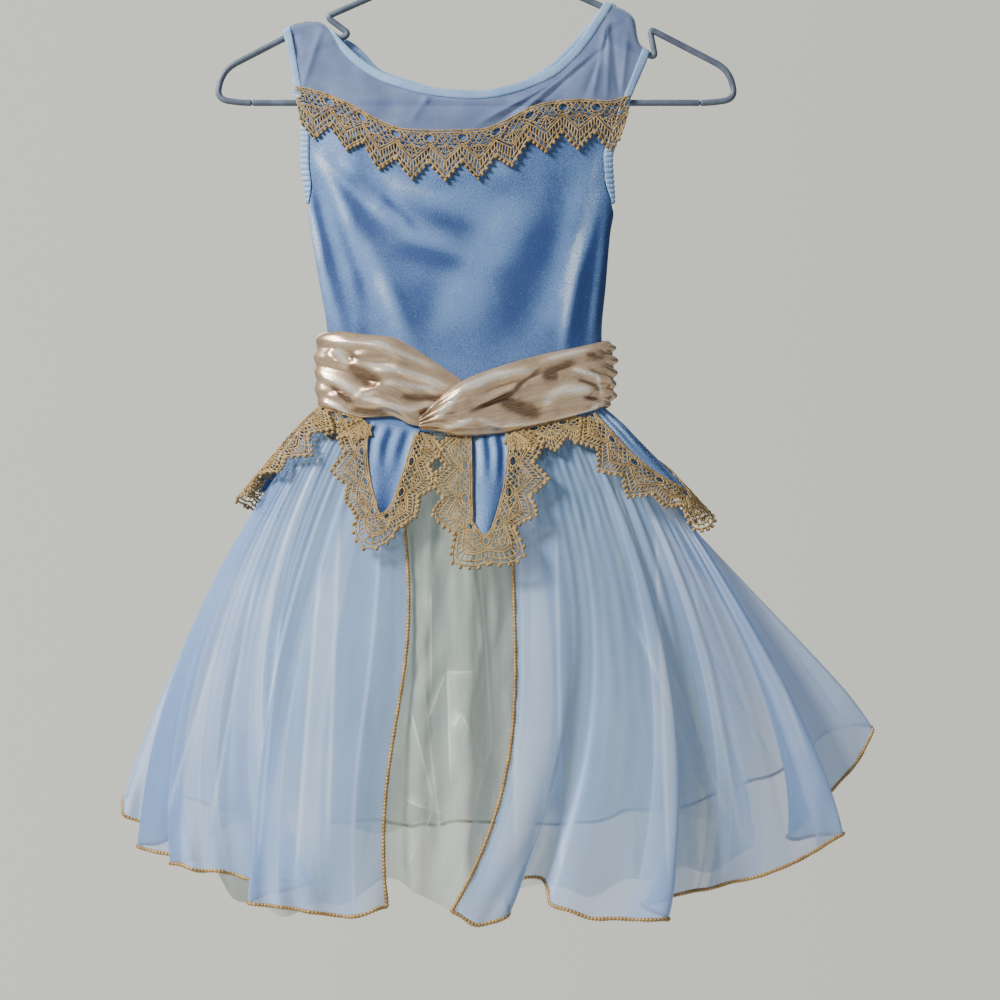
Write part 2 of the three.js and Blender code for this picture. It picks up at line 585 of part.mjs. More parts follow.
function laceStrip(place, length, width, offset) {
  const count = Math.max(1, Math.round(length / LACE_REPEAT));
  const pitch = length / count;
  const valley = 0.6 * width;
  const eyelet = { at: 0.3 * width, along: 0.16 * pitch, across: Math.min(0.16 * width, 5) };
  const rim = [[0, 0], [0.5, 0], [1, 0], [1, valley], [0.5, width], [0, valley]];
  const small = 0.5;
  const points = [];
  const known = new Map();
  const point = (s, w) => {
    const key = s.toFixed(3) + "," + w.toFixed(3);
    if (!known.has(key)) {
      known.set(key, points.length);
      points.push([s, w]);
    }
    return known.get(key);
  };
  const faces = [];
  const walls = [];
  for (let k = 0; k < count; k++) {
    const outer = rim.map(([s, w]) => point((k + s) * pitch, w));
    const inner = rim.map((_, i) => {
      const turn = EYELET_TURNS[i] * Math.PI;
      const along = (k + 0.5) * pitch + eyelet.along * Math.cos(turn);
      return point(along, eyelet.at + eyelet.across * Math.sin(turn));
    });
    for (let i = 0; i < rim.length; i++) {
      const j = (i + 1) % rim.length;
      faces.push([outer[i], outer[j], inner[j]], [outer[i], inner[j], inner[i]]);
      walls.push([inner[j], inner[i]]);
      const shared = (i === 2 && k < count - 1) || (i === 5 && k > 0);
      if (!shared) walls.push([outer[i], outer[j]]);
    }
  }
  const normalAt = ([s, w]) => place(s + small, w).sub(place(s - small, w))
    .cross(place(s, w + small).sub(place(s, w - small))).normalize().negate();
  const position = [];
  for (const face of [1, -1])
    for (const spot of points) {
      const at = place(...spot).addScaledVector(normalAt(spot), offset + (face * LACE) / 2);
      position.push(at.x, at.y, at.z);
    }
  const n = points.length;
  const index = [];
  const tri = (a, b, c) => index.push(a, c, b);
  for (const [a, b, c] of faces) {
    tri(a, b, c);
    tri(n + a, n + c, n + b);
  }
  for (const [a, b] of walls) {
    tri(a, n + a, n + b);
    tri(a, n + b, b);
  }
  return closed(position, index);
}

function buildNeckLace() {
  const [left, right] = [YOKE_SEAM[0].x + 2, YOKE_SEAM.at(-1).x - 1];
  const lean = 0.12;
  const middle = (left + right) / 2;
  const place = (s, w) => {
    const x = left + s;
    const point = bodyAt(FRONT, x - (lean * w * (x - middle)) / (right - left), seamZ(x) + LACE_LAP - w);
    point.y -= foldRise(point.x, point.z) * smoothstep(w, LACE_LAP, 3 * LACE_LAP);
    return point;
  };
  const over = BINDING / 2 + 3 * GAP + LACE / 2;
  add("neck_lace", laceStrip(place, right - left, NECK_LACE_WIDTH, over), "lace");
}

// Sash

function sashPoint(table, side, s, t, puff) {
  const [first, last] = [table[0].x, table.at(-1).x];
  const x = lerp(first, last, s);
  const z = lerp(column(table, "x", "low", x), column(table, "x", "high", x), t);
  const share = clamp((x - WAIST.centre) / (WAIST.half + 1), -1, 1);
  const angle = Math.asin(share);
  let out = SASH_REST + puff * Math.sqrt(Math.max(0, 1 - (2 * t - 1) ** 4));
  for (const crease of BAND_CREASES) {
    const middle = lerp(crease.from, crease.to, s);
    out -= (crease.depth * puff * Math.exp(-(((t - middle) / crease.width) ** 2))) / 5.5;
  }
  const depth = side === FRONT ? WAIST.front : WAIST.back;
  return vec(
    WAIST.centre + (WAIST.half + out) * Math.sin(angle),
    side * (GAP + (depth + out) * Math.cos(angle)),
    z,
  );
}

function buildSash() {
  const rows = steps(9);
  const bands = [
    ["sash_left", SASH_LEFT, FRONT, 5, 14],
    ["sash_right", SASH_RIGHT, FRONT, 6, 15],
    ["sash_back", SASH_BACK, BACK, 4, 12],
  ];
  for (const [name, table, side, puff, count] of bands) {
    const under = name === "sash_left";
    const over = name === "sash_right";
    const band = (s, t) => {
      const flat = under ? smoothstep(s, 0.55, 0.75) : 0;
      const point = sashPoint(table, side, s, t, puff * (1 - 0.75 * flat));
      if (over) point.y -= CROSSING_LIFT * (1 - smoothstep(s, 0.2, 0.4));
      return point;
    };
    // Columns are closer where the band turns round the side
    const spacing = {
      sash_left: (t) => 1 - Math.cos((t * Math.PI) / 2),
      sash_right: (t) => Math.sin((t * Math.PI) / 2),
      sash_back: (t) => (1 - Math.cos(t * Math.PI)) / 2,
    };
    const us = steps(count).map(spacing[name]);
    add(name, wall(band, us, rows, SATIN, { flip: side === BACK }), "satin");
  }
}

// Skirts

const seamDrop = (a) => waistDip(Math.cos(a * TURN) > 0, Math.cos(a * TURN));

function ringPoint(size, a, offset, z) {
  const depth = (Math.cos(a * TURN) > 0 ? size.front : size.back) + offset;
  return vec(size.centre + (size.half + offset) * Math.sin(a * TURN), -depth * Math.cos(a * TURN), z);
}

// How far the skirt has swung out, t of the way down: fast below the waist on the left,
// slower on the right
const swing = (a, t) => 1 - (1 - t) ** (1.5 - 0.25 * Math.sin(a * TURN));

// Smooth form under the folds
function skirtBase(a, t, offset = 0) {
  const hemZ = column(HEM_HEIGHT, "a", "z", a);
  const top = ringPoint(WAIST, a, offset, SEAM_Z - 1 - seamDrop(a));
  const low = ringPoint(HEM, a, offset, hemZ);
  const share = swing(a, t);
  return vec(lerp(top.x, low.x, share), lerp(top.y, low.y, share), lerp(top.z, low.z, t));
}

// One panel of the overskirt: a hem curve with its folds, eased into the smooth form above
function overskirtSurface(table, open, end) {
  const hem = curveOf(table);
  return (s, t) => {
    const low = lerp(open.hem, end, s);
    const a = lerp(lerp(open.waist, end, s), low, t);
    const fold = hem.getPointAt(s).sub(skirtBase(low, 1));
    const ease = lerp(open.swing, FOLD_START, smoothstep(s, 0, 0.12));
    return skirtBase(a, t).addScaledVector(fold, t ** ease);
  };
}

function buildOverskirt() {
  const panels = [
    ["left", HEM_LEFT, OPEN_LEFT, -BACK_SEAM, 48, true],
    ["right", HEM_RIGHT, OPEN_RIGHT, BACK_SEAM, 52, false],
  ];
  const rows = [0, 0.14, 0.34, 0.56, 0.79];
  for (const [name, table, start, end, count, flip] of panels) {
    const surface = overskirtSurface(table, start, end);
    const hemLength = curveOf(table).getLength();
    const drop = SEAM_Z - table[0].z;
    const [side, foot] = [(ROLLED_WIDTH + SEAM_GAP) / hemLength, (ROLLED_WIDTH + SEAM_GAP) / drop];
    const us = steps(count).map((t) => lerp(side, 1, t));
    const vs = [...rows, 1 - foot];
    add("overskirt_" + name, wall(surface, us, vs, TULLE, { flip }), "overskirt");
    // The rolled edge runs down the opening and round the hem
    const [inU, inV] = [ROLLED_WIDTH / hemLength, ROLLED_WIDTH / drop];
    const turns = [...rows.map((t) => ({ u: 0, v: t })), ...us.map((u, i) => ({ u: i ? u : 0, v: 1 }))];
    const corner = rows.length;
    const strip = (k, w) => {
      const i = clamp(Math.floor(k), 0, turns.length - 2);
      const blend = k - i;
      const at = (j) => {
        const { u, v } = turns[j];
        const inside = { u: j <= corner ? inU : u, v: j < corner ? v : 1 - inV };
        return [lerp(inside.u, u, w), lerp(inside.v, v, w)];
      };
      const [p, q] = [at(i), at(i + 1)];
      return surface(lerp(p[0], q[0], blend), lerp(p[1], q[1], blend));
    };
    const ks = turns.map((_, i) => i);
    add("rolled_edge_" + name, wall(strip, ks, [0, 1], ROLLED, { flip: !flip }), "rolled");
  }
}

function buildUnderskirt() {
  const hem = curveOf(HEM_UNDER, true);
  const surface = (s, t) => {
    const turn = ((s % 1) + 1) % 1 - 0.5;
    const top = ringPoint(WAIST, turn, -UNDER_INSET, SEAM_Z - 1 - seamDrop(turn));
    const low = hem.getPointAt(turn + 0.5);
    const share = swing(turn, t) * 0.97 + 0.03 * t;
    return vec(lerp(top.x, low.x, share), lerp(top.y, low.y, share), lerp(top.z, low.z, t));
  };
  const us = steps(52);
  const ts = [0, 0.15, 0.4, 0.7, 1];
  add("underskirt", wall(surface, us, ts, TULLE, { ring: true, flip: false }), "underskirt");
}

// Peplum

// The petals lie on the skirt at the waist seam and stand further off it the lower they reach
const petalStand = (t) => PETAL_REST + PETAL_STAND * smoothstep(t, 0, 0.05) + PETAL_FLARE * t;
const peplumPoint = (a, t) => skirtBase(a, t, petalStand(t));

function petalPlace(petal, s, v) {
  const a = lerp(lerp(petal.top[0], petal.top[1], s), lerp(petal.foot[0], petal.foot[1], s), v ** petal.bow);
  const round = 1 - 0.16 * Math.abs(2 * s - 1) ** 2;
  return { a, t: 0.012 + petal.drop * v * round };
}

// Moves a place on the peplum by a distance, square to a direction of travel
function stepAside(place, way, distance) {
  const small = 1e-3;
  const here = peplumPoint(place.a, place.t);
  const alongA = peplumPoint(place.a + small, place.t).sub(here).divideScalar(small);
  const alongT = peplumPoint(place.a, place.t + small).sub(here).divideScalar(small);
  const travel = alongA.clone().multiplyScalar(way.a).addScaledVector(alongT, way.t);
  const aside = alongA.clone().cross(alongT).normalize().cross(travel).normalize().multiplyScalar(distance);
  const [aa, at, tt] = [alongA.dot(alongA), alongA.dot(alongT), alongT.dot(alongT)];
  const [pa, pt] = [alongA.dot(aside), alongT.dot(aside)];
  const det = aa * tt - at * at;
  return { a: place.a + (pa * tt - pt * at) / det, t: place.t + (pt * aa - pa * at) / det };
}

// Lace along a path of places, each with its length so far
function laceOnPath(path, width, offset) {
  const lengths = [0];
  for (let i = 1; i < path.length; i++) {
    const [p, q] = [path[i - 1], path[i]];
    lengths.push(lengths[i - 1] + peplumPoint(p.a, p.t).distanceTo(peplumPoint(q.a, q.t)));
  }
  const total = lengths.at(-1);
  const place = (s, w) => {
    const at = clamp(s, 0, total);
    let i = 0;
    while (i < path.length - 2 && at > lengths[i + 1]) i++;
    const blend = (at - lengths[i]) / (lengths[i + 1] - lengths[i]);
    const [p, q] = [path[i], path[i + 1]];
    const way = (j) => {
      const [before, after] = [path[Math.max(0, j - 1)], path[Math.min(path.length - 1, j + 1)]];
      return { a: after.a - before.a, t: after.t - before.t };
    };
    const [wp, wq] = [way(i), way(i + 1)];
    let spot = { a: lerp(p.a, q.a, blend), t: lerp(p.t, q.t, blend) };
    const mixed = { a: lerp(wp.a, wq.a, blend), t: lerp(wp.t, wq.t, blend) };
    const narrow = 0.5 + 0.5 * Math.sin((at / total) * Math.PI) ** 0.5;
    const reach = w * narrow - LACE_LAP;
    for (let k = 0; k < 3; k++) spot = stepAside(spot, mixed, reach / 3);
    return peplumPoint(spot.a, Math.max(0.008, spot.t)).add(vec(s - at, 0, 0));
  };
  return laceStrip(place, total, width, offset);
}

function buildPeplum() {
  const over = VELVET / 2 + GAP + LACE / 2;
  for (const petal of PETALS) {
    const surface = (s, v) => {
      const { a, t } = petalPlace(petal, s, v);
      return peplumPoint(a, t);
    };
    add("petal_" + petal.name, wall(surface, steps(6), steps(5), VELVET, { flip: true }), "velvet");
    const high = 0.24;
    const down = steps(5).map((v) => petalPlace(petal, 0, lerp(high, 1, v)));
    const round = steps(3).slice(1, -1).map((s) => petalPlace(petal, s, 1));
    const up = steps(5).map((v) => petalPlace(petal, 1, lerp(1, high, v)));
    const path = [...down, ...round, ...up];
    add("petal_lace_" + petal.name, laceOnPath(path, petal.lace, over + petal.lift), "lace");
  }
  for (const arch of ARCH_LACES) {
    const path = steps(4).map((t) => ({ a: lerp(arch.from, arch.to, t), t: 0.02 }));
    add("arch_lace_" + arch.name, laceOnPath(path, arch.width, GAP), "lace");
  }
}

buildHanger();
buildBodice(FRONT, "front");
buildBodice(BACK, "back");
buildYoke(FRONT, "front");
buildYoke(BACK, "back");
buildNeckLace();
buildSash();
buildOverskirt();
buildUnderskirt();
buildPeplum();

export default costume;
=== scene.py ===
"""A child's ballet costume on a wire hanger: crushed stretch velvet bodice with a sheer yoke,
guipure lace, a crossed satin sash, lace-edged velvet petals, a pale blue tulle overskirt that is
open at the front and edged with gold overlock thread, and an ivory tulle underskirt.

Lengths in the tables and shape functions are millimetres, X to the right of the picture, Y to the
back, Z up, with the origin in the hanger's hook. A mesh turns them into metres."""

import bpy
import numpy as np
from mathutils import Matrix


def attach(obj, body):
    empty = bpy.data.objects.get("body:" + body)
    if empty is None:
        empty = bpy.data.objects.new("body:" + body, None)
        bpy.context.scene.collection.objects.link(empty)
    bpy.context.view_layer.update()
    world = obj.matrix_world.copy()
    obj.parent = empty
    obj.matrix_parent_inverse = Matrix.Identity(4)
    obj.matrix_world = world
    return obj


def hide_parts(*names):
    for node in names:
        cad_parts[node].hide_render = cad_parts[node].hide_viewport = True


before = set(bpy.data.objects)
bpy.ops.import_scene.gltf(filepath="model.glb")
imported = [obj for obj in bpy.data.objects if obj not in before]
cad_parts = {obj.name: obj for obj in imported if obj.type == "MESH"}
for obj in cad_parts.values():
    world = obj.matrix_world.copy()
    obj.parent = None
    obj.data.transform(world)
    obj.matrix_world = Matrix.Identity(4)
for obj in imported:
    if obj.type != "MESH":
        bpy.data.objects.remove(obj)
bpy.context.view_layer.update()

MM = 0.001
TURN = 2 * np.pi
FRONT, BACK = -1, 1
DEPTH = np.array([0.0, 1.0, 0.0])
rng = np.random.default_rng(7)
scene = bpy.context.scene
scene.cycles.transparent_max_bounces = 12

# Camera: level with the picture's middle, square to the hanger
CAMERA_AT = (0.0192, -1.333, -0.512)
LENS, SENSOR = 60, 36
FLOOR_Z = -1.9
FLOOR_REACH, DOME_RADIUS = 3000, 7000

WORLD_STRENGTH = 0.33
LIT_POINT = (0.02, 0, -0.45)
# Lights: name, place, side of the square in metres, power in watts, colour
LIGHTS = (
    ("key", (-1.6, -1.15, 0.8), 0.55, 98, (1.0, 0.985, 0.955)),
    ("fill", (1.2, -1.6, -0.3), 1.4, 4, (0.93, 0.96, 1.0)),
    ("rim", (-0.7, 1.4, 0.5), 1.0, 16, (1.0, 1.0, 1.0)),
)


def add_camera():
    data = bpy.data.cameras.new("camera")
    data.lens, data.sensor_width = LENS, SENSOR
    camera = bpy.data.objects.new("camera", data)
    camera.location = CAMERA_AT
    camera.rotation_euler = (np.pi / 2, 0, 0)
    scene.collection.objects.link(camera)
    scene.camera = camera


def add_light(name, at, towards, size, power, colour):
    """A square area light that faces a point."""
    data = bpy.data.lights.new(name, "AREA")
    data.size, data.energy, data.color = size, power, colour
    light = bpy.data.objects.new(name, data)
    light.location = at
    x, y, z = np.subtract(towards, at)
    lean = np.arccos(-z / np.linalg.norm((x, y, z)))
    light.rotation_euler = (lean, 0, np.arctan2(y, x) - np.pi / 2)
    scene.collection.objects.link(light)


add_camera()


# Shape tables, in millimetres

def table(names, *rows):
    """The columns of a table by name."""
    return dict(zip(names.split(), np.array(rows, float).T))


VELVET, BINDING, SATIN = 1.2, 1.6, 1.2
GAP, SEAM_GAP, GATHER_GAP = 0.3, 0.7, 0.9
BINDING_WIDTH = 7
ARMPIT_Z = -275
SEAM_Z, SEAM_DIP, SEAM_DIP_BACK = -439, 21, 4
WAIST = dict(centre=-9, half=112, front=17, back=13)
HEM = dict(centre=14, half=282, front=98, back=62)
UNDER_INSET = 2.2
RIDGE_CURL = 4
FOLD_START = 1.8
# How many columns and rows of faces each cloth has
BODICE_GRID, SASH_GRID, PETAL_GRID = (150, 130), (200, 84), (64, 64)
OVER_ROWS, UNDER_ROWS, UNDER_COLUMNS = 84, 80, 700
LACE_LAP = 3
LACE_REPEAT = 27
NECK_LACE_WIDTH = 40
SASH_REST, CROSSING_LIFT = 2, 4
PETAL_REST, PETAL_STAND, PETAL_FLARE = 1.5, 2, 42

BODY = table(
    "z left right front back gap round",
    (-470, -121, 103, 16, 12, 0.2, 0.5),
    (-432, -120, 102.4, 16, 12, 0.2, 0.5),
    (-380, -118.4, 100, 15, 11, 0.2, 0.5),
    (-340, -124.4, 103.4, 15, 11, 0.2, 0.6),
    (-300, -131.2, 106.8, 14, 10, 0.2, 0.7),
    (-272, -136, 111, 14, 10, 0.4, 0.8),
    (-240, -140, 109.2, 13, 9, 2.6, 1),
    (-212, -139.6, 118.4, 12, 8, 3.2, 1),
    (-184.8, -145.2, 126.3, 10, 7, 3.2, 1),
    (-160, -148.5, 137, 7, 5, 3.2, 1),
    (-136, -154.4, 141, 4, 3, 3.2, 1),
    (-100, -158, 141, 4, 3, 3.2, 1),
)
RIDGE_LEFT = table(
    "x z",
    (-154.4, -136), (-149, -133.4), (-140, -130.6), (-130, -129.8), (-121.6, -131.6), (-115.2, -136.5),
)
RIDGE_RIGHT = table(
    "x z",
    (139.8, -153.4), (134.4, -150.6), (130.6, -147), (129, -141), (126, -127), (120, -121.3),
    (112, -117.4), (103.2, -114.2),
)
NECK_FRONT = table(
    "x z",
    (-115.2, -136.5), (-99.2, -154), (-78, -170.4), (-56.8, -179.2), (-35, -184.8), (3.2, -187.7),
    (26, -183.6), (46, -176.3), (60.3, -168.4), (71, -159.2), (83.2, -144.8), (94.5, -127.7),
    (103.2, -114.2),
)
NECK_BACK = table(
    "x z",
    (-115.2, -136.5), (-98, -145.6), (-88.8, -153.6), (-78, -164.8), (-49.6, -174.9), (-9.6, -186.4),
    (22, -180), (44, -171), (58, -162.4), (70, -151.6), (83.2, -138), (94.5, -124.4), (103.2, -114.2),
)
YOKE_SEAM = table(
    "x z",
    (-145.2, -184.8), (-132.2, -187.7), (-118, -192), (-99.4, -200.6), (-78, -213.4), (-56.8, -221.3),
    (-35.2, -223.2), (3.2, -222), (17.6, -217.6), (46, -203.2), (60.3, -199.2), (83.2, -196.8),
    (103.2, -197.6), (123.2, -192),
)
HEM_LEFT = table(
    "x y z",
    (-65.6, -104, -812), (-94.4, -112, -817), (-127.8, -108, -814), (-162.5, -102, -808),
    (-142, -84, -804), (-124.9, -75, -802), (-175.3, -62, -799), (-234.9, -50, -791), (-220.6, -40, -790),
    (-264.8, -26, -784), (-239.2, -8, -780), (-281.8, 8, -766), (-282.2, 28, -752), (-250, 44, -755),
    (-216, 36, -764), (-186, 62, -770), (-148, 68, -774), (-120, 48, -778), (-86, 72, -782),
    (-52, 58, -784), (-20, 70, -784), (13.4, 70, -784),
)
HEM_RIGHT = table(
    "x y z",
    (-15.8, -118, -812), (2.5, -121, -821), (21.4, -108, -816), (28.2, -86, -800), (50, -86, -796),
    (54, -106, -807), (85, -114, -817), (139.4, -112, -818), (128.9, -92, -814), (148.7, -79, -810),
    (190.3, -68, -804), (245.2, -50, -790), (287.4, -32, -772), (249.5, -10, -779), (287.6, 6, -745),
    (324, 25, -697), (289.6, 47, -705), (250, 42, -736), (214, 62, -752), (172, 50, -766),
    (136, 74, -774), (96, 58, -780), (52, 70, -784), (14.6, 70, -784),
)
HEM_HEIGHT = table(
    "a z",
    (-0.5, -784), (-0.35, -768), (-0.25, -764), (-0.18, -794), (-0.08, -814), (0.02, -818), (0.1, -816),
    (0.18, -794), (0.25, -742), (0.3, -706), (0.37, -748), (0.5, -784),
)
HEM_UNDER = table(
    "x y z",
    (14, 44, -778), (-50, 40, -778), (-110, 30, -778), (-170, 34, -776), (-214, 18, -782),
    (-208, -14, -803), (-164, -38, -826), (-118, -50, -824), (-86, -64, -814), (-62, -80, -804),
    (-44, -90, -808), (-26, -86, -812), (-6, -96, -815), (14, -74, -812), (60, -66, -808),
    (118, -62, -804), (176, -46, -798), (212, -26, -786), (222, 0, -774), (196, 26, -770),
    (130, 34, -774), (72, 38, -776),
)
OPEN_LEFT = dict(waist=-0.077, hem=-0.0455, swing=1.8, sway=27, widest=0.42)
OPEN_RIGHT = dict(waist=0.05, hem=0.0065, swing=3.4, sway=-12, widest=0.35)
BACK_SEAM = 0.499


# Curves and interpolation

def lerp(a, b, t):
    return a + (b - a) * t


def step(x, low, high):
    """0 below low, 1 above high, smooth between."""
    t = np.clip((x - low) / (high - low), 0, 1)
    return t * t * (3 - 2 * t)


def bump(x, middle, width):
    """A bell of height 1."""
    return np.exp(-(((x - middle) / width) ** 2))


def unit(v):
    return v / np.maximum(np.linalg.norm(v, axis=-1, keepdims=True), 1e-9)


def xyz(x, y, z):
    return np.stack(np.broadcast_arrays(x, y, z), -1).astype(float)


def column(cols, key, name, at):
    """Cubic through a column; each inner slope is the harmonic mean of the slopes beside it."""
    x, y = cols[key], cols[name]
    if x[0] > x[-1]:
        x, y = x[::-1], y[::-1]
    rise = np.diff(y) / np.diff(x)
    both = rise[:-1] * rise[1:]
    inner = np.where(both > 0, 2 * both / np.where(both > 0, rise[:-1] + rise[1:], 1), 0)
    slope = np.concatenate([rise[:1], inner, rise[-1:]])
    at = np.clip(at, x[0], x[-1])
    i = np.clip(np.searchsorted(x, at, "right") - 1, 0, len(x) - 2)
    span = x[i + 1] - x[i]
    t = (at - x[i]) / span
    t2, t3 = t * t, t * t * t
    return ((2 * t3 - 3 * t2 + 1) * y[i] + (t3 - 2 * t2 + t) * span * slope[i]
            + (3 * t2 - 2 * t3) * y[i + 1] + (t3 - t2) * span * slope[i + 1])


def reach_of(path):
    """The length along a path so far, at each of its points."""
    return np.concatenate([[0], np.cumsum(np.linalg.norm(np.diff(path, axis=0), axis=1))])


def resample(at, places, path):
    """A path's points at new places, from the places of the old ones."""
    return np.stack([np.interp(at, places, column) for column in path.T], -1)


class Curve:
    """Centripetal Catmull-Rom curve through a table's points, sampled finely."""

    FINE = 40

    def __init__(self, cols, closed=False):
        p = xyz(cols["x"], cols.get("y", np.zeros_like(cols["x"])), cols["z"])
        if closed:
            p = np.vstack([p[-1:], p, p[:2]])
        else:
            p = np.vstack([2 * p[:1] - p[1:2], p, 2 * p[-1:] - p[-2:-1]])
        a, b, c, d = p[:-3, None], p[1:-2, None], p[2:-1, None], p[3:, None]
        gaps = [np.sqrt(np.linalg.norm(q - r, axis=-1, keepdims=True)) for q, r in ((b, a), (c, b), (d, c))]
        d0, d1, d2 = gaps
        start = ((b - a) / d0 - (c - a) / (d0 + d1) + (c - b) / d1) * d1
        stop = ((c - b) / d1 - (d - b) / (d1 + d2) + (d - c) / d2) * d1
        t = (np.arange(self.FINE) / self.FINE)[None, :, None]
        t2, t3 = t * t, t * t * t
        body = ((2 * t3 - 3 * t2 + 1) * b + (t3 - 2 * t2 + t) * start
                + (3 * t2 - 2 * t3) * c + (t3 - t2) * stop)
        self.points = np.vstack([body.reshape(-1, 3), p[-2][None]])
        self.index = np.linspace(0, 1, len(self.points))
        self.reach = reach_of(self.points)
        self.length = self.reach[-1]

    def by_length(self, s):
        return resample(s, self.reach / self.length, self.points)

    def by_point(self, s):
        return resample(s, self.index, self.points)


def distance_to(cols, x, z):
    """Least distance in the front view from points to a table's line."""
    best = np.full(np.broadcast(x, z).shape, 1e9)
    ax, az = cols["x"], cols["z"]
    for i in range(len(ax) - 1):
        dx, dz = ax[i + 1] - ax[i], az[i + 1] - az[i]
        t = np.clip(((x - ax[i]) * dx + (z - az[i]) * dz) / (dx * dx + dz * dz), 0, 1)
        best = np.minimum(best, np.hypot(x - ax[i] - t * dx, z - az[i] - t * dz))
    return best


def normals(points):
    """Unit normals of a grid: the cross product of its row and column directions."""
    rows = np.gradient(points, axis=0)
    cols = np.gradient(points, axis=1)
    return unit(np.cross(cols, rows))


def grid(n, m):
    """Two grids of shares, u across n columns and v up m rows."""
    return np.meshgrid(np.linspace(0, 1, n), np.linspace(0, 1, m))


# Meshes

def mesh_of(name, points, faces, uv=None, attributes=None):
    """A smooth mesh of quads from points in millimetres."""
    mesh = bpy.data.meshes.new(name)
    mesh.vertices.add(len(points))
    mesh.vertices.foreach_set("co", (points * MM).astype(np.float32).ravel())
    mesh.loops.add(faces.size)
    mesh.loops.foreach_set("vertex_index", faces.astype(np.int32).ravel())
    mesh.polygons.add(len(faces))
    mesh.polygons.foreach_set("loop_start", np.arange(0, faces.size, faces.shape[1], dtype=np.int32))
    mesh.update(calc_edges=True)
    mesh.polygons.foreach_set("use_smooth", np.ones(len(faces), bool))
    if uv is not None:
        layer = mesh.uv_layers.new(name="cloth")
        layer.data.foreach_set("uv", uv[faces.ravel()].astype(np.float32).ravel())
    for key, values in (attributes or {}).items():
        made = mesh.attributes.new(key, "FLOAT", "POINT")
        made.data.foreach_set("value", values.astype(np.float32).ravel())
    piece = bpy.data.objects.new(name, mesh)
    scene.collection.objects.link(piece)
    return piece


def quads_of(rows, cols, ring=False, start=0):
    """Quads that join the points of a grid; ring joins its last column to its first."""
    index = start + np.arange(rows * cols).reshape(rows, cols)
    if ring:
        index = np.hstack([index, index[:, :1]])
    return np.stack([index[:-1, :-1], index[:-1, 1:], index[1:, 1:], index[1:, :-1]], -1).reshape(-1, 4)


def run_lengths(points):
    """Length so far along the rows and along the columns of a grid, in metres, as UV."""
    across = np.linalg.norm(np.diff(points, axis=1), axis=2).mean(axis=0)
    down = np.linalg.norm(np.diff(points, axis=0), axis=2).mean(axis=1)
    u = np.concatenate([[0], np.cumsum(across)])
    v = np.concatenate([[0], np.cumsum(down)])
    return np.stack(np.meshgrid(u, v), -1).reshape(-1, 2) * MM


def cloth_piece(name, points, thickness=None, attributes=None, flip=False):
    """A sheet on a grid of points, with a wall where thickness is given."""
    faces = quads_of(*points.shape[:2])
    if flip:
        faces = faces[:, ::-1]
    piece = mesh_of(name, points.reshape(-1, 3), faces, run_lengths(points), attributes)
    if thickness:
        wall = piece.modifiers.new("wall", "SOLIDIFY")
        wall.thickness = thickness * MM
        wall.offset = 0
        wall.use_even_offset = False
    return piece


def tubes(paths, ups, radius, sides, flat=1.0):
    """Closed round threads along many paths of equal count: path point + radius (side cos p + up sin p),
    drawn in to a point at both ends. Returns points and quads."""
    count, steps = paths.shape[:2]
    way = unit(np.gradient(paths, axis=1))
    side = unit(np.cross(way, ups))
    lift = np.cross(side, way)
    angle = np.arange(sides) / sides * TURN
    size = np.broadcast_to(np.asarray(radius, float), (count, steps))[..., None, None]
    ring = paths[:, :, None] + size * (side[:, :, None] * np.cos(angle)[:, None]
                                       + flat * lift[:, :, None] * np.sin(angle)[:, None])
    first, last = paths[:, :1, None] + 0 * ring[:, :1], paths[:, -1:, None] + 0 * ring[:, -1:]
    ring = np.concatenate([first, ring, last], axis=1)
    one = quads_of(steps + 2, sides, ring=True)
    faces = (one[None] + (np.arange(count) * (steps + 2) * sides)[:, None, None]).reshape(-1, 4)
    return ring.reshape(-1, 3), faces


def beads(centres, radius, around=6, rows=4):
    """Small balls: circles of latitude about each centre."""
    lat = np.linspace(-np.pi / 2, np.pi / 2, rows + 1)[:, None]
    lon = (np.arange(around) / around * TURN)[None]
    ball = xyz(np.cos(lat) * np.cos(lon), np.cos(lat) * np.sin(lon), np.sin(lat) + 0 * lon)
    size = np.broadcast_to(np.asarray(radius, float), (len(centres),))[:, None, None, None]
    points = centres[:, None, None] + ball[None] * size
    one = quads_of(rows + 1, around, ring=True)
    faces = (one[None] + (np.arange(len(centres)) * (rows + 1) * around)[:, None, None]).reshape(-1, 4)
    return points.reshape(-1, 3), faces


def joined(name, *parts):
    """One mesh of several point and face lists."""
    points, faces, start = [], [], 0
    for p, f in parts:
        points.append(p)
        faces.append(f + start)
        start += len(p)
    piece = mesh_of(name, np.vstack(points), np.vstack(faces))
    weld(piece)
    return piece


def weld(piece):
    """Merges doubled points, drops faces with no area and turns every face out."""
    import bmesh
    work = bmesh.new()
    work.from_mesh(piece.data)
    bmesh.ops.remove_doubles(work, verts=work.verts, dist=1e-6)
    bmesh.ops.dissolve_degenerate(work, edges=work.edges, dist=1e-7)
    bmesh.ops.recalc_face_normals(work, faces=work.faces)
    work.to_mesh(piece.data)
    work.free()
    piece.data.polygons.foreach_set("use_smooth", np.ones(len(piece.data.polygons), bool))


# Shader maths

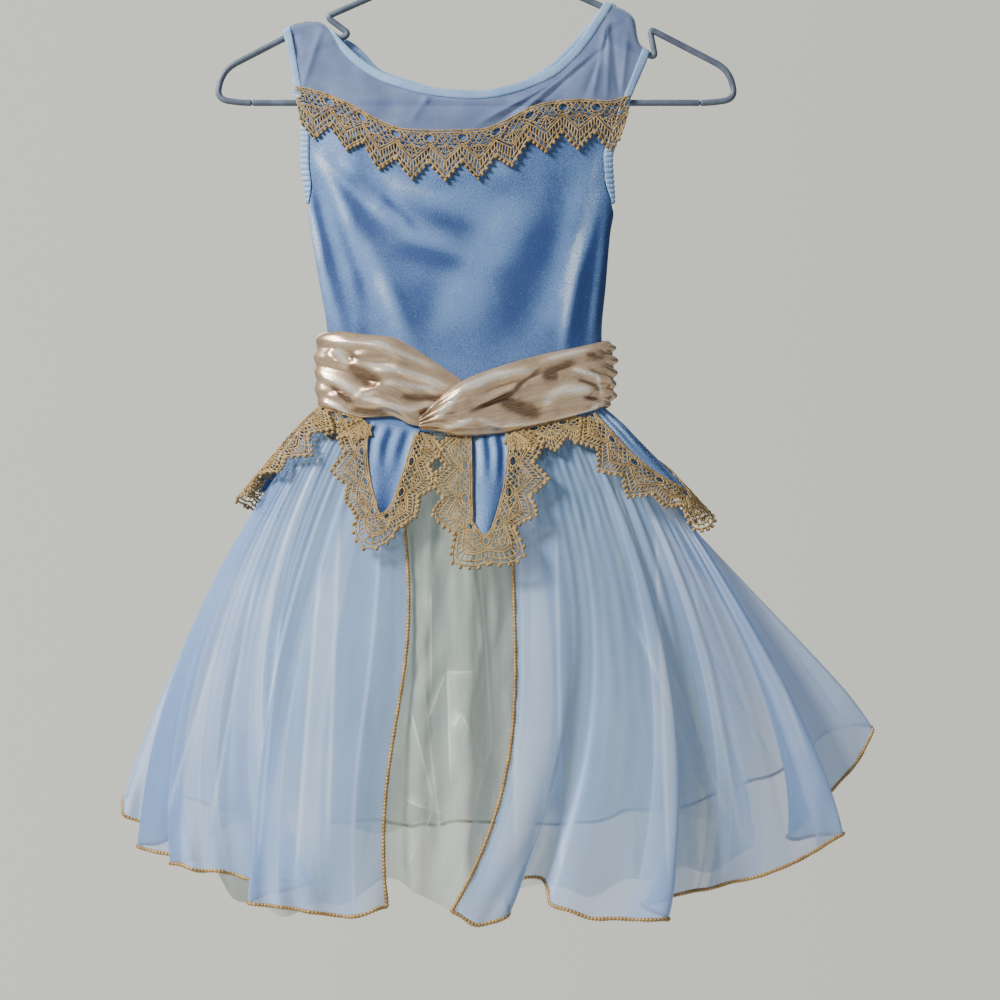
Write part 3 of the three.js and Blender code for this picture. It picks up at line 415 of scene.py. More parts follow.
class Maths:
    """The node tree of one material, with methods that add nodes."""

    def __init__(self, name):
        self.material = bpy.data.materials.new(name)
        self.material.use_nodes = True
        self.tree = self.material.node_tree
        self.tree.nodes.clear()

    def node(self, kind, settings=None, inputs=None, output=0):
        """Adds a node: its settings first, then the values or links of its sockets."""
        made = self.tree.nodes.new("ShaderNode" + kind)
        for key, value in (settings or {}).items():
            setattr(made, key, value)
        for key, value in (inputs or {}).items():
            socket = made.inputs[key]
            if isinstance(value, Value):
                self.tree.links.new(value.socket, socket)
            else:
                socket.default_value = value
        return Value(self, made.outputs[output], made)

    def finish(self, surface):
        out = self.tree.nodes.new("ShaderNodeOutputMaterial")
        self.tree.links.new(surface.socket, out.inputs["Surface"])
        return self.material


class Value:
    """A socket whose operators add Math nodes."""

    def __init__(self, maths, socket, node):
        self.maths, self.socket, self.made = maths, socket, node

    def math(self, operation, *others, clamp=False):
        inputs = {0: self, **{i + 1: other for i, other in enumerate(others)}}
        return self.maths.node("Math", {"operation": operation, "use_clamp": clamp}, inputs)

    def __add__(self, other):
        return self.math("ADD", other)

    __radd__ = __add__

    def __mul__(self, other):
        return self.math("MULTIPLY", other)

    __rmul__ = __mul__

    def __sub__(self, other):
        return self.math("SUBTRACT", other)

    def __rsub__(self, other):
        return self.maths.node("Math", {"operation": "SUBTRACT"}, {0: other, 1: self})

    def __truediv__(self, other):
        return self.math("DIVIDE", other)

    def __pow__(self, other):
        return self.math("POWER", other)

    def __mod__(self, other):
        return self.math("FLOORED_MODULO", other)

    def __abs__(self):
        return self.math("ABSOLUTE")

    def sine(self):
        return self.math("SINE")

    def clamped(self):
        return self.math("ADD", 0.0, clamp=True)

    def ramp(self, low, high):
        """0 below low and 1 above high."""
        settings = {"interpolation_type": "SMOOTHSTEP"}
        inputs = {"Value": self, "From Min": low, "From Max": high}
        return self.maths.node("MapRange", settings, inputs)

    def part(self, name):
        """One axis of a vector."""
        return self.maths.node("SeparateXYZ", None, {0: self}, output=name)

    def output(self, name):
        return Value(self.maths, self.made.outputs[name], self.made)


def rgb(red, green, blue):
    """Linear light from screen values of 0 to 255."""
    s = np.array([red, green, blue]) / 255
    return tuple(np.where(s <= 0.04045, s / 12.92, ((s + 0.055) / 1.055) ** 2.4))


def rgba(red, green, blue):
    return (*rgb(red, green, blue), 1.0)


def place(m, scale=(1, 1, 1), of="Object"):
    """Object or cloth coordinates, scaled."""
    source = m.node("TexCoord", output="Object") if of == "Object" else m.node("UVMap", {"uv_map": "cloth"})
    return m.node("Mapping", None, {"Vector": source, "Scale": scale})


def attribute(m, name):
    """A number that the mesh carries at each of its points."""
    return m.node("Attribute", {"attribute_name": name, "attribute_type": "GEOMETRY"}, output="Fac")


def noise(m, at, scale, detail, rough, warp=0.0):
    inputs = {"Vector": at, "Scale": scale, "Detail": detail, "Roughness": rough, "Distortion": warp}
    return m.node("TexNoise", None, inputs)


def blend(m, share, first, second):
    """Mixes two colours by a share."""
    return m.node("Mix", {"data_type": "RGBA"}, {0: share, 6: first, 7: second}, output=2)


def relief(m, height, distance, strength):
    return m.node("Bump", None, {"Height": height, "Distance": distance, "Strength": strength})


def principled(m, **sockets):
    """The main shader; sockets are named with _ for spaces."""
    return m.node("BsdfPrincipled", None, {k.replace("_", " "): v for k, v in sockets.items()})


# Materials

def velvet_material():
    """Stretch velvet: a fine pile with painted glints. Its attribute, 0 to 1, lays the velvet dark or
    light: laid nap mixed with painted highlights and painted shade along the folds.
    """
    m = Maths("blue stretch velvet")
    at = place(m)
    painted_light_and_nap = attribute(m, "painted_light_and_nap")
    patch = noise(m, at, 30, 3, 0.55, 0.3)
    grain = noise(m, at, 1100, 2, 0.75)
    fleck = noise(m, at, 1250, 2, 0.7)
    light = painted_light_and_nap + (patch - 0.5) * 0.35 + (grain - 0.5) * (0.45 + painted_light_and_nap * 1.2)
    sparkle = (fleck + painted_light_and_nap * 0.12).ramp(0.60, 0.74)
    # Painted light and shade: the colour runs from a deep painted shade through the velvet's own blue up to
    # a near-white painted highlight.
    colour = blend(m, light.ramp(0.0, 0.6), rgba(44, 72, 130), rgba(104, 140, 194))
    colour = blend(m, light.ramp(0.6, 1.25), colour, rgba(214, 228, 246))
    # Painted glints: bright specks blended into the colour, and the same mask makes the pile a little
    # glossier.
    colour = blend(m, sparkle * 0.3, colour, rgba(198, 216, 244))
    rough = 0.5 - sparkle * 0.2 - painted_light_and_nap * 0.1
    normal = relief(m, grain * 0.6 + fleck, 0.001, 0.6)
    surface = principled(
        m, Base_Color=colour, Roughness=rough, Normal=normal, Specular_IOR_Level=0.6,
        Specular_Tint=rgba(200, 222, 255), Sheen_Weight=0.7, Sheen_Roughness=0.3,
        Sheen_Tint=rgba(190, 214, 255),
    )
    return m.finish(surface)


def satin_material():
    """Champagne satin: long fine warp threads across the band, a soft slub, a bright sheen, and painted
    highlights and painted shade along its creases, from brown to near white.
    """
    m = Maths("champagne satin")
    thread = noise(m, place(m, (0.04, 1.0, 1.0), of="cloth"), 2600, 2, 0.5)
    slub = noise(m, place(m, (0.12, 1.0, 1.0), of="cloth"), 160, 3, 0.6)
    wear = noise(m, place(m), 60, 4, 0.6)
    grain = noise(m, place(m), 900, 2, 0.7)
    satin_painted_light = attribute(m, "sheen")
    # Painted light: the attribute lightens the raised creases towards near white and darkens their hollows
    # towards brown.
    light = satin_painted_light + (wear - 0.5) * 0.5 + (grain - 0.5) * satin_painted_light * 0.7
    colour = blend(m, light.ramp(0.0, 0.5), rgba(104, 76, 52), rgba(204, 176, 144))
    colour = blend(m, light.ramp(0.5, 1.0), colour, rgba(250, 240, 224))
    colour = blend(m, thread.ramp(0.3, 0.8) * 0.2, colour, rgba(232, 214, 192))
    rough = 0.2 + thread * 0.08 + slub * 0.05
    normal = relief(m, thread * 0.5 + slub, 0.0006, 0.4)
    surface = principled(
        m, Base_Color=colour, Roughness=rough, Normal=normal, Specular_IOR_Level=0.85,
        Specular_Tint=rgba(255, 236, 214), Metallic=0.5, Sheen_Weight=0.3, Sheen_Roughness=0.4,
        Sheen_Tint=rgba(255, 236, 214),
    )
    return m.finish(surface)


def net_weave(m, pitch):
    """0 to 1 over a fine net: the product of two sine waves along the cloth, a mesh each pitch."""
    at = place(m, of="cloth")
    across = (at.part("X") * (TURN / pitch)).sine()
    down = (at.part("Y") * (TURN / pitch)).sine()
    return across * down * 0.5 + 0.5


def yoke_material():
    """Sheer stretch mesh: a tight matt net that shows what is close behind it."""
    m = Maths("sheer blue mesh")
    weave = net_weave(m, 0.0011)
    cloud = noise(m, place(m), 45, 3, 0.5)
    colour = blend(m, cloud.ramp(0.3, 0.7), rgba(80, 104, 154), rgba(108, 130, 176))
    colour = blend(m, weave * 0.2, colour, rgba(180, 198, 230))
    alpha = 0.72 + weave * 0.16
    surface = principled(
        m, Base_Color=colour, Roughness=0.62, Alpha=alpha, Normal=relief(m, weave, 0.0004, 0.35),
        Sheen_Weight=0.5, Sheen_Roughness=0.5, Sheen_Tint=rgba(214, 228, 250),
    )
    return m.finish(surface)


def binding_material():
    """Pale blue fold-over binding: fine ribs along it and two rows of zigzag stitches by its inner edge."""
    m = Maths("pale blue binding")
    at = place(m, of="cloth")
    along, across = at.part("X"), at.part("Y")
    rib = (across * (TURN / 0.0006)).sine() * 0.5 + 0.5
    zig = abs(((along / 0.0024) % 1.0) - 0.5) * 2.0
    cloud = noise(m, place(m), 60, 3, 0.5)
    colour = blend(m, cloud.ramp(0.3, 0.7), rgba(116, 158, 208), rgba(146, 184, 224))
    colour = blend(m, rib * 0.25 + zig * 0.12, colour, rgba(190, 216, 240))
    surface = principled(
        m, Base_Color=colour, Roughness=0.48, Normal=relief(m, rib * 0.5 + zig * 0.5, 0.0004, 0.35),
        Specular_IOR_Level=0.6, Sheen_Weight=0.4, Sheen_Roughness=0.4, Sheen_Tint=rgba(220, 236, 250),
    )
    return m.finish(surface)


def lace_material():
    """Old gold cotton cord: a twist along the threads and shade in its valleys."""
    m = Maths("gold guipure lace")
    at = place(m)
    fibre = noise(m, at, 1400, 3, 0.65)
    patch = noise(m, at, 120, 3, 0.6)
    colour = blend(m, patch.ramp(0.3, 0.7), rgba(130, 99, 52), rgba(186, 155, 99))
    colour = blend(m, fibre.ramp(0.35, 0.8) * 0.5, colour, rgba(234, 208, 152))
    surface = principled(
        m, Base_Color=colour, Roughness=0.66, Normal=relief(m, fibre, 0.0006, 0.6),
        Specular_IOR_Level=0.4, Sheen_Weight=0.25, Sheen_Tint=rgba(250, 230, 190),
    )
    return m.finish(surface)


def overlock_material():
    """Shiny gold thread wound over the tulle's edge."""
    m = Maths("gold overlock thread")
    at = place(m)
    wind = noise(m, at, 900, 2, 0.6)
    patch = noise(m, at, 70, 3, 0.6)
    colour = blend(m, patch.ramp(0.3, 0.7), rgba(146, 112, 58), rgba(190, 152, 88))
    colour = blend(m, wind.ramp(0.5, 0.8) * 0.6, colour, rgba(232, 200, 138))
    surface = principled(
        m, Base_Color=colour, Roughness=0.42, Metallic=0.25, Normal=relief(m, wind, 0.0005, 0.6),
        Specular_IOR_Level=0.7,
    )
    return m.finish(surface)


# Creases of the ivory net in the front opening: x and z of both ends, how wide its fold laps, how strong
IVORY_CREASES = (
    (-49, -668, -27, -752, 14, 1.0), (-35, -678, -22, -643, 9, 0.9), (-22, -643, 2, -642, 8, 0.7),
    (-16, -684, -10, -672, 8, 0.8), (-10, -672, 12, -721, 12, 1.0), (-55, -736, -21, -749, 10, 0.8),
    (-34, -580, -33, -668, 16, 0.8), (-21, -639, -18, -728, 12, 0.9), (5, -600, 8, -721, 15, 0.8),
    (-51, -789, -24, -731, 12, 0.8), (-39, -649, -22, -791, 10, 0.9), (14, -700, -14, -800, 14, 0.8),
)


def pressed_creases(m, lines):
    """Sharp creases of a net, each a straight line of the front view from (x, z) to (x, z): on the line
    the net is doubled, and beside it the fold's own strip laps over, thinning out over its width.
    A Mapping node turns each line into an axis: X runs along it from 0 to 1, and Z is mm across it."""
    at = m.node("TexCoord", output="Object")
    total = 0.0
    for k, (x0, z0, x1, z1, width, weight) in enumerate(lines):
        long = float(np.hypot(x1 - x0, z1 - z0))
        turn = float(np.arctan2(z1 - z0, x1 - x0))
        laid = m.node("Mapping", {"vector_type": "TEXTURE"}, {
            "Vector": at, "Location": (x0 * MM, 0, z0 * MM), "Rotation": (0, -turn, 0),
            "Scale": (long * MM, 1, MM if k % 2 else -MM)})
        along = laid.part("X")
        across = along.output("Z")
        line = abs(across).ramp(1.3, 0)
        strip = across.ramp(0, 0.7) * across.ramp(width, 0)
        ends = along.ramp(-0.02, 0.12) * along.ramp(1.02, 0.75)
        total = total + ends * (line * (2.2 * weight) + strip * (1.3 * weight))
    return total * at.part("Y").ramp(0, -0.03)


def tulle_material(name, thin, full, through, cover, streak_share, lines=()):
    """Fine net: a matt thread colour that lets light through, denser where the cloth stands on edge.
    The layers attribute is how many times thicker the net looks along the skirt's own outward way."""
    m = Maths(name)
    density = attribute(m, "layers")
    if lines:
        density = density + pressed_creases(m, lines)
    streak = noise(m, place(m, (1.0, 0.06, 1.0), of="cloth"), 240, 2, 0.6)
    cloud = noise(m, place(m), 14, 2, 0.6)
    grain = noise(m, place(m, of="cloth"), 760, 2, 0.85)
    weave = (1 - streak_share * 0.5 + streak_share * streak) * (0.62 + cloud * 0.3 + grain * 0.46)
    open_share = 1 - (cover * weave).clamped()
    alpha = 1 - open_share ** density
    colour = blend(m, (cloud * 0.4 + density * 0.2).ramp(0.35, 1.15), thin, full)
    colour = blend(m, grain.ramp(0.4, 0.8) * 0.15, colour, rgba(230, 238, 250))
    thread = principled(m, Base_Color=colour, Roughness=0.75, Specular_IOR_Level=0.15)
    glow = m.node("BsdfTranslucent", None, {"Color": through})
    cloth = m.node("MixShader", None, {0: 0.16, 1: thread, 2: glow})
    clear = m.node("BsdfTransparent")
    return m.finish(m.node("MixShader", None, {0: alpha.clamped(), 1: clear, 2: cloth}))


def wire_material():
    """Slate grey vinyl coating, a little uneven."""
    m = Maths("grey coated wire")
    at = place(m)
    orange_peel = noise(m, at, 420, 2, 0.5)
    scuff = noise(m, at, 60, 4, 0.65)
    colour = blend(m, scuff.ramp(0.35, 0.7), rgba(84, 94, 110), rgba(110, 121, 138))
    surface = principled(
        m, Base_Color=colour, Roughness=0.3 + scuff * 0.2, Normal=relief(m, orange_peel, 0.0003, 0.3),
        Specular_IOR_Level=0.55,
    )
    return m.finish(surface)


def dome_material():
    """A plain pale wall colour with painted shade: a little darker to the right, away from the key light.
    """
    m = Maths("pale wall")
    right = place(m).part("X").ramp(-3.5, 3.5)
    colour = blend(m, right, rgba(214, 214, 205), rgba(196, 196, 188))
    return m.finish(m.node("Emission", None, {"Color": colour, "Strength": 1.35}))


def floor_material():
    """A plain pale matt floor that glows a little, as a room's floor does in the light of its walls."""
    m = Maths("pale floor")
    surface = principled(
        m, Base_Color=rgba(214, 213, 205), Roughness=0.9, Specular_IOR_Level=0.2,
        Emission_Color=rgba(206, 206, 197), Emission_Strength=1.0,
    )
    return m.finish(surface)


# Body

def seam_z(x):
    return column(YOKE_SEAM, "x", "z", x)


def body_point(side, e, z, offset=0.0):
    """Mid surface of the body. A section is a lens between the left and right edges, with e from -1 to 1
    sine spaced: depth is the stand times (1 - share squared) to a power, and it curls in to y = 0 along
    the tops of the straps."""
    left, right = column(BODY, "z", "left", z), column(BODY, "z", "right", z)
    share = np.sin(e * np.pi / 2)
    x = (left + right) / 2 + ((right - left) / 2 + offset) * share
    stand = column(BODY, "z", "front" if side == FRONT else "back", z) + offset
    lens = np.maximum(0, 1 - share ** 2) ** column(BODY, "z", "round", z)
    depth = column(BODY, "z", "gap", z) + VELVET / 2 + stand * lens - GAP / 2
    near = np.minimum(distance_to(RIDGE_LEFT, x, z), distance_to(RIDGE_RIGHT, x, z)) / RIDGE_CURL
    curl = np.where(near < 1, np.sqrt(np.maximum(0, 1 - (1 - np.minimum(near, 1)) ** 2)), 1)
    return xyz(x, side * (GAP / 2 + 0.02 + depth * curl), z)


def body_at(side, x, z, offset=0.0):
    """The same surface by its place in the front view."""
    left, right = column(BODY, "z", "left", z), column(BODY, "z", "right", z)
    share = np.clip((2 * x - left - right) / (right - left), -1, 1)
    return body_point(side, 2 * np.arcsin(share) / np.pi, z, offset)


# Folds of the velvet and creases of the mesh: a line in the front view with its rise and half width.
# sharp is the power of the bell: 2 is soft and 1 is a crease
FOLDS = table(
    "x0 z0 x1 z1 rise width sharp",
    (-118, -222, -8, -317, 3.0, 17, 2),
    (-126, -232, -46, -388, 2.6, 16, 2),
    (-131, -250, -94, -380, -1.6, 12, 2),
    (101, -246, 67, -392, 2.4, 14, 2),
    (-106, -243, -64, -291, 1.5, 5, 2),
    (-70, -285, -10, -316, 1.1, 7, 2),
    (-124, -238, -92, -306, 1.3, 5, 2),
    (-116, -268, -52, -372, 1.0, 6, 2),
    (-134, -262, -118, -330, 1.3, 4, 2),
    (-128, -300, -100, -392, 0.9, 6, 2),
    (-96, -230, -60, -275, -0.9, 6, 2),
    (54, -270, -12, -392, 1.2, 22, 2),
    (98, -252, 76, -330, -1.0, 6, 2),
    (108, -262, 92, -392, 1.2, 5, 2),
    (84, -300, 70, -400, 0.8, 7, 2),
    (-40, -250, 40, -262, 0.8, 12, 2),
    (20, -330, 60, -372, -0.5, 12, 2),
)
# Painted highlights and painted shade of the velvet, standing in part for laid nap: lines in the front
# view, strength and half width
NAP_HIGHLIGHTS_AND_SHADE = table(
    "x0 z0 x1 z1 rise width sharp",
    (-130, -236, -66, -296, 0.9, 3.4, 2), (-84, -272, -52, -302, 0.8, 6, 2),
    (-60, -298, -4, -318, 1.2, 6.5, 2), (-118, -250, -96, -296, 0.7, 3.5, 2),
    (-100, -286, -70, -340, 0.8, 5, 2), (-78, -330, -56, -394, 0.9, 7, 2),
    (-136, -262, -116, -360, 0.8, 3.4, 2), (-84, -254, -22, -276, 0.8, 7, 2),
    (-30, -274, 12, -262, 0.35, 7, 2), (34, -262, -22, -340, 0.4, 13, 2),
    (-4, -310, -36, -392, 0.4, 9, 2), (100, -230, 74, -330, 0.8, 3.6, 2),
    (84, -296, 66, -398, 1.1, 3.4, 2), (112, -262, 98, -392, 0.5, 4, 2), (24, -246, 8, -250, 0.3, 6, 2),
    (-122, -252, -86, -360, -0.9, 4.5, 2), (-106, -250, -80, -310, -0.6, 6, 2),
    (-96, -330, -86, -398, -0.7, 7, 2), (-76, -270, -44, -300, -0.8, 3.5, 2),
    (-56, -282, 10, -300, -0.5, 8, 2), (-64, -312, 0, -330, -0.8, 9, 2),
    (-46, -330, -20, -396, -0.3, 14, 2), (70, -236, 44, -330, -0.4, 14, 2),
    (56, -290, 20, -396, -0.5, 14, 2), (76, -310, 56, -398, -0.3, 8, 2),
    (104, -262, 92, -330, -0.5, 5, 2), (94, -320, 82, -398, -0.6, 6, 2),
    (-20, -234, 60, -228, -0.5, 6, 2), (-100, -226, -40, -236, -0.5, 5, 2),
)
BACK_FOLDS = table(
    "x0 z0 x1 z1 rise width sharp",
    (92, -228, 20, -330, 2.2, 15, 2),
    (-120, -240, -70, -390, 2.4, 15, 2),
    (-110, -262, -80, -350, 1.0, 6, 2),
    (100, -262, 84, -392, 1.6, 8, 2),
    (70, -250, 40, -300, 1.0, 6, 2),
    (-60, -300, -20, -400, 1.2, 18, 2),
    (30, -340, 60, -410, 0.9, 14, 2),
    (-130, -270, -116, -340, 1.0, 5, 2),
)
YOKE_CREASES = table(
    "x0 z0 x1 z1 rise width sharp",
    (-122, -134, -139, -186, 1.0, 2.6, 1.4),
    (-146, -138, -140, -160, -0.9, 2.2, 1.4),
    (-114, -140, -106, -156, -0.9, 2.0, 1.4),
    (-37, -186, -40, -200, 0.8, 1.6, 1.4),
    (-38, -192, -52, -214, 0.6, 3.4, 1.6),
    (64, -180, 0, -216, 1.4, 3.2, 1.4),
    (80, -168, 16, -214, -1.0, 3.4, 1.4),
    (96, -154, 16, -222, 1.4, 3.4, 1.4),
    (104, -150, 40, -206, -0.9, 3.0, 1.4),
    (104, -132, 92, -196, 0.9, 2.2, 1.4),
    (106, -132, 104, -196, 0.9, 2.0, 1.4),
    (108, -134, 114, -192, -0.8, 2.0, 1.4),
    (110, -132, 84, -196, -0.7, 2.4, 1.4),
    (121, -138, 116, -190, 0.8, 2.4, 1.4),
    (-112, -152, -118, -190, -0.4, 8, 2),
    (-90, -168, -84, -208, 0.5, 9, 2),
    (-66, -178, -70, -216, -0.5, 8, 2),
)


def fold_rise(folds, x, z):
    """Sum over the folds of rise times a bell across the line, faded at the line's two ends."""
    rise = np.zeros(np.broadcast(x, z).shape)
    for x0, z0, x1, z1, height, width, sharp in zip(*folds.values()):
        dx, dz = x1 - x0, z1 - z0
        length = np.hypot(dx, dz)
        t = ((x - x0) * dx + (z - z0) * dz) / length ** 2
        away = np.abs((x - x0) * dz - (z - z0) * dx) / length
        ends = step(t, -0.1, 0.25) * (1 - step(t, 0.7, 1.1))
        rise += height * ends * np.exp(-((away / width) ** sharp))
    return rise


def waist_dip(front, share):
    return np.where(front, SEAM_DIP, SEAM_DIP_BACK) * share ** 2


def gather_width(z):
    return BINDING_WIDTH * step(z, -286, -256)


def edge_share(z, width):
    """The e of the line that lies a width inside the body's side edge."""
    half = (column(BODY, "z", "right", z) - column(BODY, "z", "left", z)) / 2
    return 2 * np.arcsin(np.clip(1 - width / half, -1, 1)) / np.pi


def bodice(side):
    """A panel from the waist seam up to the yoke seam, raised along its folds."""
    u, v = grid(*BODICE_GRID)
    e = 2 * u - 1

    def share_at(z):
        width = gather_width(z)
        return edge_share(z, width + GATHER_GAP * step(width, 0, 1.2))

    z_top = np.full_like(e, YOKE_SEAM["z"][0])
    for _ in range(10):
        z_top = seam_z(body_point(side, e * share_at(z_top), z_top)[..., 0])
    z_low = SEAM_Z - waist_dip(side == FRONT, np.cos(e * np.pi / 2))
    z = lerp(z_low, z_top - SEAM_GAP, v)
    points = body_point(side, e * share_at(z), z)
    calm = (1 - np.abs(e) ** 6) * step(z, -400, -370)
    folds = FOLDS if side == FRONT else BACK_FOLDS
    points[..., 1] += side * (fold_rise(folds, points[..., 0], z) * calm)
    # Fine drag lines run down from each ruche of the armholes
    ruche = np.sin(z / 4.3 * TURN + 6 * u) * bump(np.abs(e), 1, 0.09) * step(z, -290, -262)
    points[..., 1] += side * 0.35 * ruche * (1 - np.abs(e) ** 30)
    return points


def painted_light_and_nap_of(side, points):
    """0 dark to 1 light, painted into the velvet's colour: painted highlights and shade where the pile is
    laid over, and painted light on the side of each fold that faces up and left, towards the key light.
    """
    x, z = side * -points[..., 0], points[..., 2]
    laid = fold_rise(NAP_HIGHLIGHTS_AND_SHADE, x if side == FRONT else x - 18, z)
    folds = FOLDS if side == FRONT else BACK_FOLDS
    # Painted light: a fold's side that faces the key light at the upper left is lit, and its other side is
    # shaded.
    tilt = fold_rise(folds, points[..., 0] + 2, z - 2) - fold_rise(folds, points[..., 0] - 2, z + 2)
    return np.clip(0.38 + 0.42 * laid + 0.5 * tilt, 0, 1)


def neck_inner(curve, s, width):
    """The neck edge moved into the cloth by a width, turning into the straps' tops at its two ends."""
    point = curve.by_point(s)
    way = unit(curve.by_point(np.minimum(s + 1e-3, 1)) - curve.by_point(np.maximum(s - 1e-3, 0)))
    square = xyz(way[..., 2], 0 * s, -way[..., 0])
    square = np.where(square[..., 2:] > 0, -square, square)
    reach = 0.14
    left, right = (1 - step(s, 0, reach))[..., None], step(s, 1 - reach, 1)[..., None]
    inward = square * (1 - left - right) + np.array([-1, 0, 0.75]) * left + np.array([1, 0, -0.25]) * right
    return point + unit(inward) * np.asarray(width)[..., None]


def on_body(side, flat):
    return body_at(side, flat[..., 0], flat[..., 2])


def yoke(side):
    """Straight lines from the yoke seam up to the straps and the neck, creased."""
    curve = Curve(NECK_FRONT if side == FRONT else NECK_BACK)
    left, right = Curve(RIDGE_LEFT), Curve(RIDGE_RIGHT)
    inset, strap, ease = BINDING_WIDTH - 0.8, 0.07, 1.3
    u = np.concatenate([np.linspace(0, strap, 16)[:-1], np.linspace(strap, 1 - strap, 150),
                        np.linspace(1 - strap, 1, 16)[1:]])
    v = 1 - (1 - np.linspace(0, 1, 70)) ** 1.6
    s = (u - strap) / (1 - 2 * strap)
    share = np.clip(u / strap, 0, 1)
    over_left = left.by_length(lerp(inset, left.length - inset - ease, share) / left.length)
    share = np.clip((u - 1 + strap) / strap, 0, 1)
    over_right = right.by_length(lerp(right.length - inset - ease, inset, share) / right.length)
    width = inset + ease * (1 - step(np.minimum(s, 1 - s), 0.02, 0.15))
    top = neck_inner(curve, np.clip(s, 0, 1), width)
    top = np.where((u < strap)[:, None], over_left, np.where((u > 1 - strap)[:, None], over_right, top))
    x = lerp(YOKE_SEAM["x"][0] + inset, YOKE_SEAM["x"][-1] - inset, u)
    low = xyz(x, 0 * x, seam_z(x))
    flat = lerp(low[None], top[None], v[:, None, None])
    points = on_body(side, flat)
    edge = step(v, 0, 0.08)[:, None] * (1 - step(v, 0.93, 1.0))[:, None]
    turn = 1 if side == FRONT else 0.6
    points[..., 1] += side * 1.7 * fold_rise(YOKE_CREASES, flat[..., 0], flat[..., 2]) * edge * turn
    return points


def strip_tube(side, rim_in, rim_out, thickness):
    """A closed flat band between two lines: an ellipse-like section, thickest at its fold, along the band.
    Returns a grid of points, a ring of 18 round the section for each step along."""
    angle = np.arange(18) / 18 * TURN
    across = 0.5 + 0.5 * np.sign(np.cos(angle)) * np.abs(np.cos(angle)) ** 0.6
    lift = side * np.sign(np.sin(angle)) * np.abs(np.sin(angle)) ** 0.8
    rings = lerp(rim_in[:, None], rim_out[:, None], across[None, :, None])
    rings[..., 1] += np.reshape(thickness, (-1, 1)) / 2 * lift
    return rings


def banded(name, rings):
    """Closes a band's rings into a mesh with flat ends; UV runs along it and across it."""
    rows, cols = rings.shape[:2]
    caps = [rings[:1].mean(axis=1, keepdims=True), rings[-1:].mean(axis=1, keepdims=True)]
    rings = np.concatenate([np.repeat(caps[0], cols, axis=1), rings, np.repeat(caps[1], cols, axis=1)])
    along = reach_of(rings.mean(axis=1))
    round_it = np.minimum(np.arange(cols), cols - np.arange(cols)) / (cols / 2) * BINDING_WIDTH
    uv = np.stack(np.meshgrid(along, round_it, indexing="ij"), -1).reshape(-1, 2) * MM
    piece = mesh_of(name, rings.reshape(-1, 3), quads_of(rows + 2, cols, ring=True), uv)
    weld(piece)
    return piece


def neck_binding(side, name):
    """A fold-over band along the neck edge, a hair proud of the mesh."""
    curve = Curve(NECK_FRONT if side == FRONT else NECK_BACK)
    s = np.linspace(0, 1, 260)
    ease = 1 - (1 - np.minimum(s, 1 - s) * 2) ** 2
    s = np.where(s < 0.5, ease / 2, 1 - ease / 2)
    outer = on_body(side, curve.by_point(s))
    inner = on_body(side, neck_inner(curve, s, np.full_like(s, BINDING_WIDTH)))
    ripple = 1 + 0.04 * np.sin(s * 190)
    return banded(name, strip_tube(side, inner, outer, (BINDING + 0.5) * ripple))


def armhole_binding(side, hand, name):
    """The band beside the mesh, from the yoke seam up to the strap's top."""
    ridge = Curve(RIDGE_LEFT if hand < 0 else RIDGE_RIGHT)
    v = 1 - (1 - np.linspace(0, 1, 90)) ** 1.5
    edge_x = YOKE_SEAM["x"][0 if hand < 0 else -1]

    def line(width):
        x = np.array(edge_x - hand * width)
        low = xyz(x, 0, seam_z(x))
        top = ridge.by_length(np.array(width / ridge.length))
        return on_body(side, lerp(low, top, v[:, None]))

    return banded(name, strip_tube(side, line(BINDING_WIDTH), line(0.0), BINDING + 0.4))


def armhole_gather(side, hand, name):
    """The band along the velvet's armhole, ruched: small even swells along its length."""
    v = np.linspace(0, 1, 260)
    edge_x = YOKE_SEAM["x"][0 if hand < 0 else -1]

    def line(across):
        z = lerp(ARMPIT_Z, seam_z(edge_x - hand * (1 - across) * BINDING_WIDTH) - SEAM_GAP, v)
        inner = edge_share(z, np.maximum(gather_width(z), 1))
        return body_point(side, hand * lerp(inner, 1, across), z)

    length = abs(ARMPIT_Z - YOKE_SEAM["z"][0])
    swell = np.abs(np.sin(v * length / 4.4 * np.pi + 0.5 * np.sin(v * 9))) ** 0.7
    outer, inner = line(1.0), line(0.0)
    outer[:, 0] += hand * (swell - 0.5) * 0.9
    return banded(name, strip_tube(side, inner, outer, (BINDING + 0.8) * (0.62 + 0.55 * swell)))


# Lace

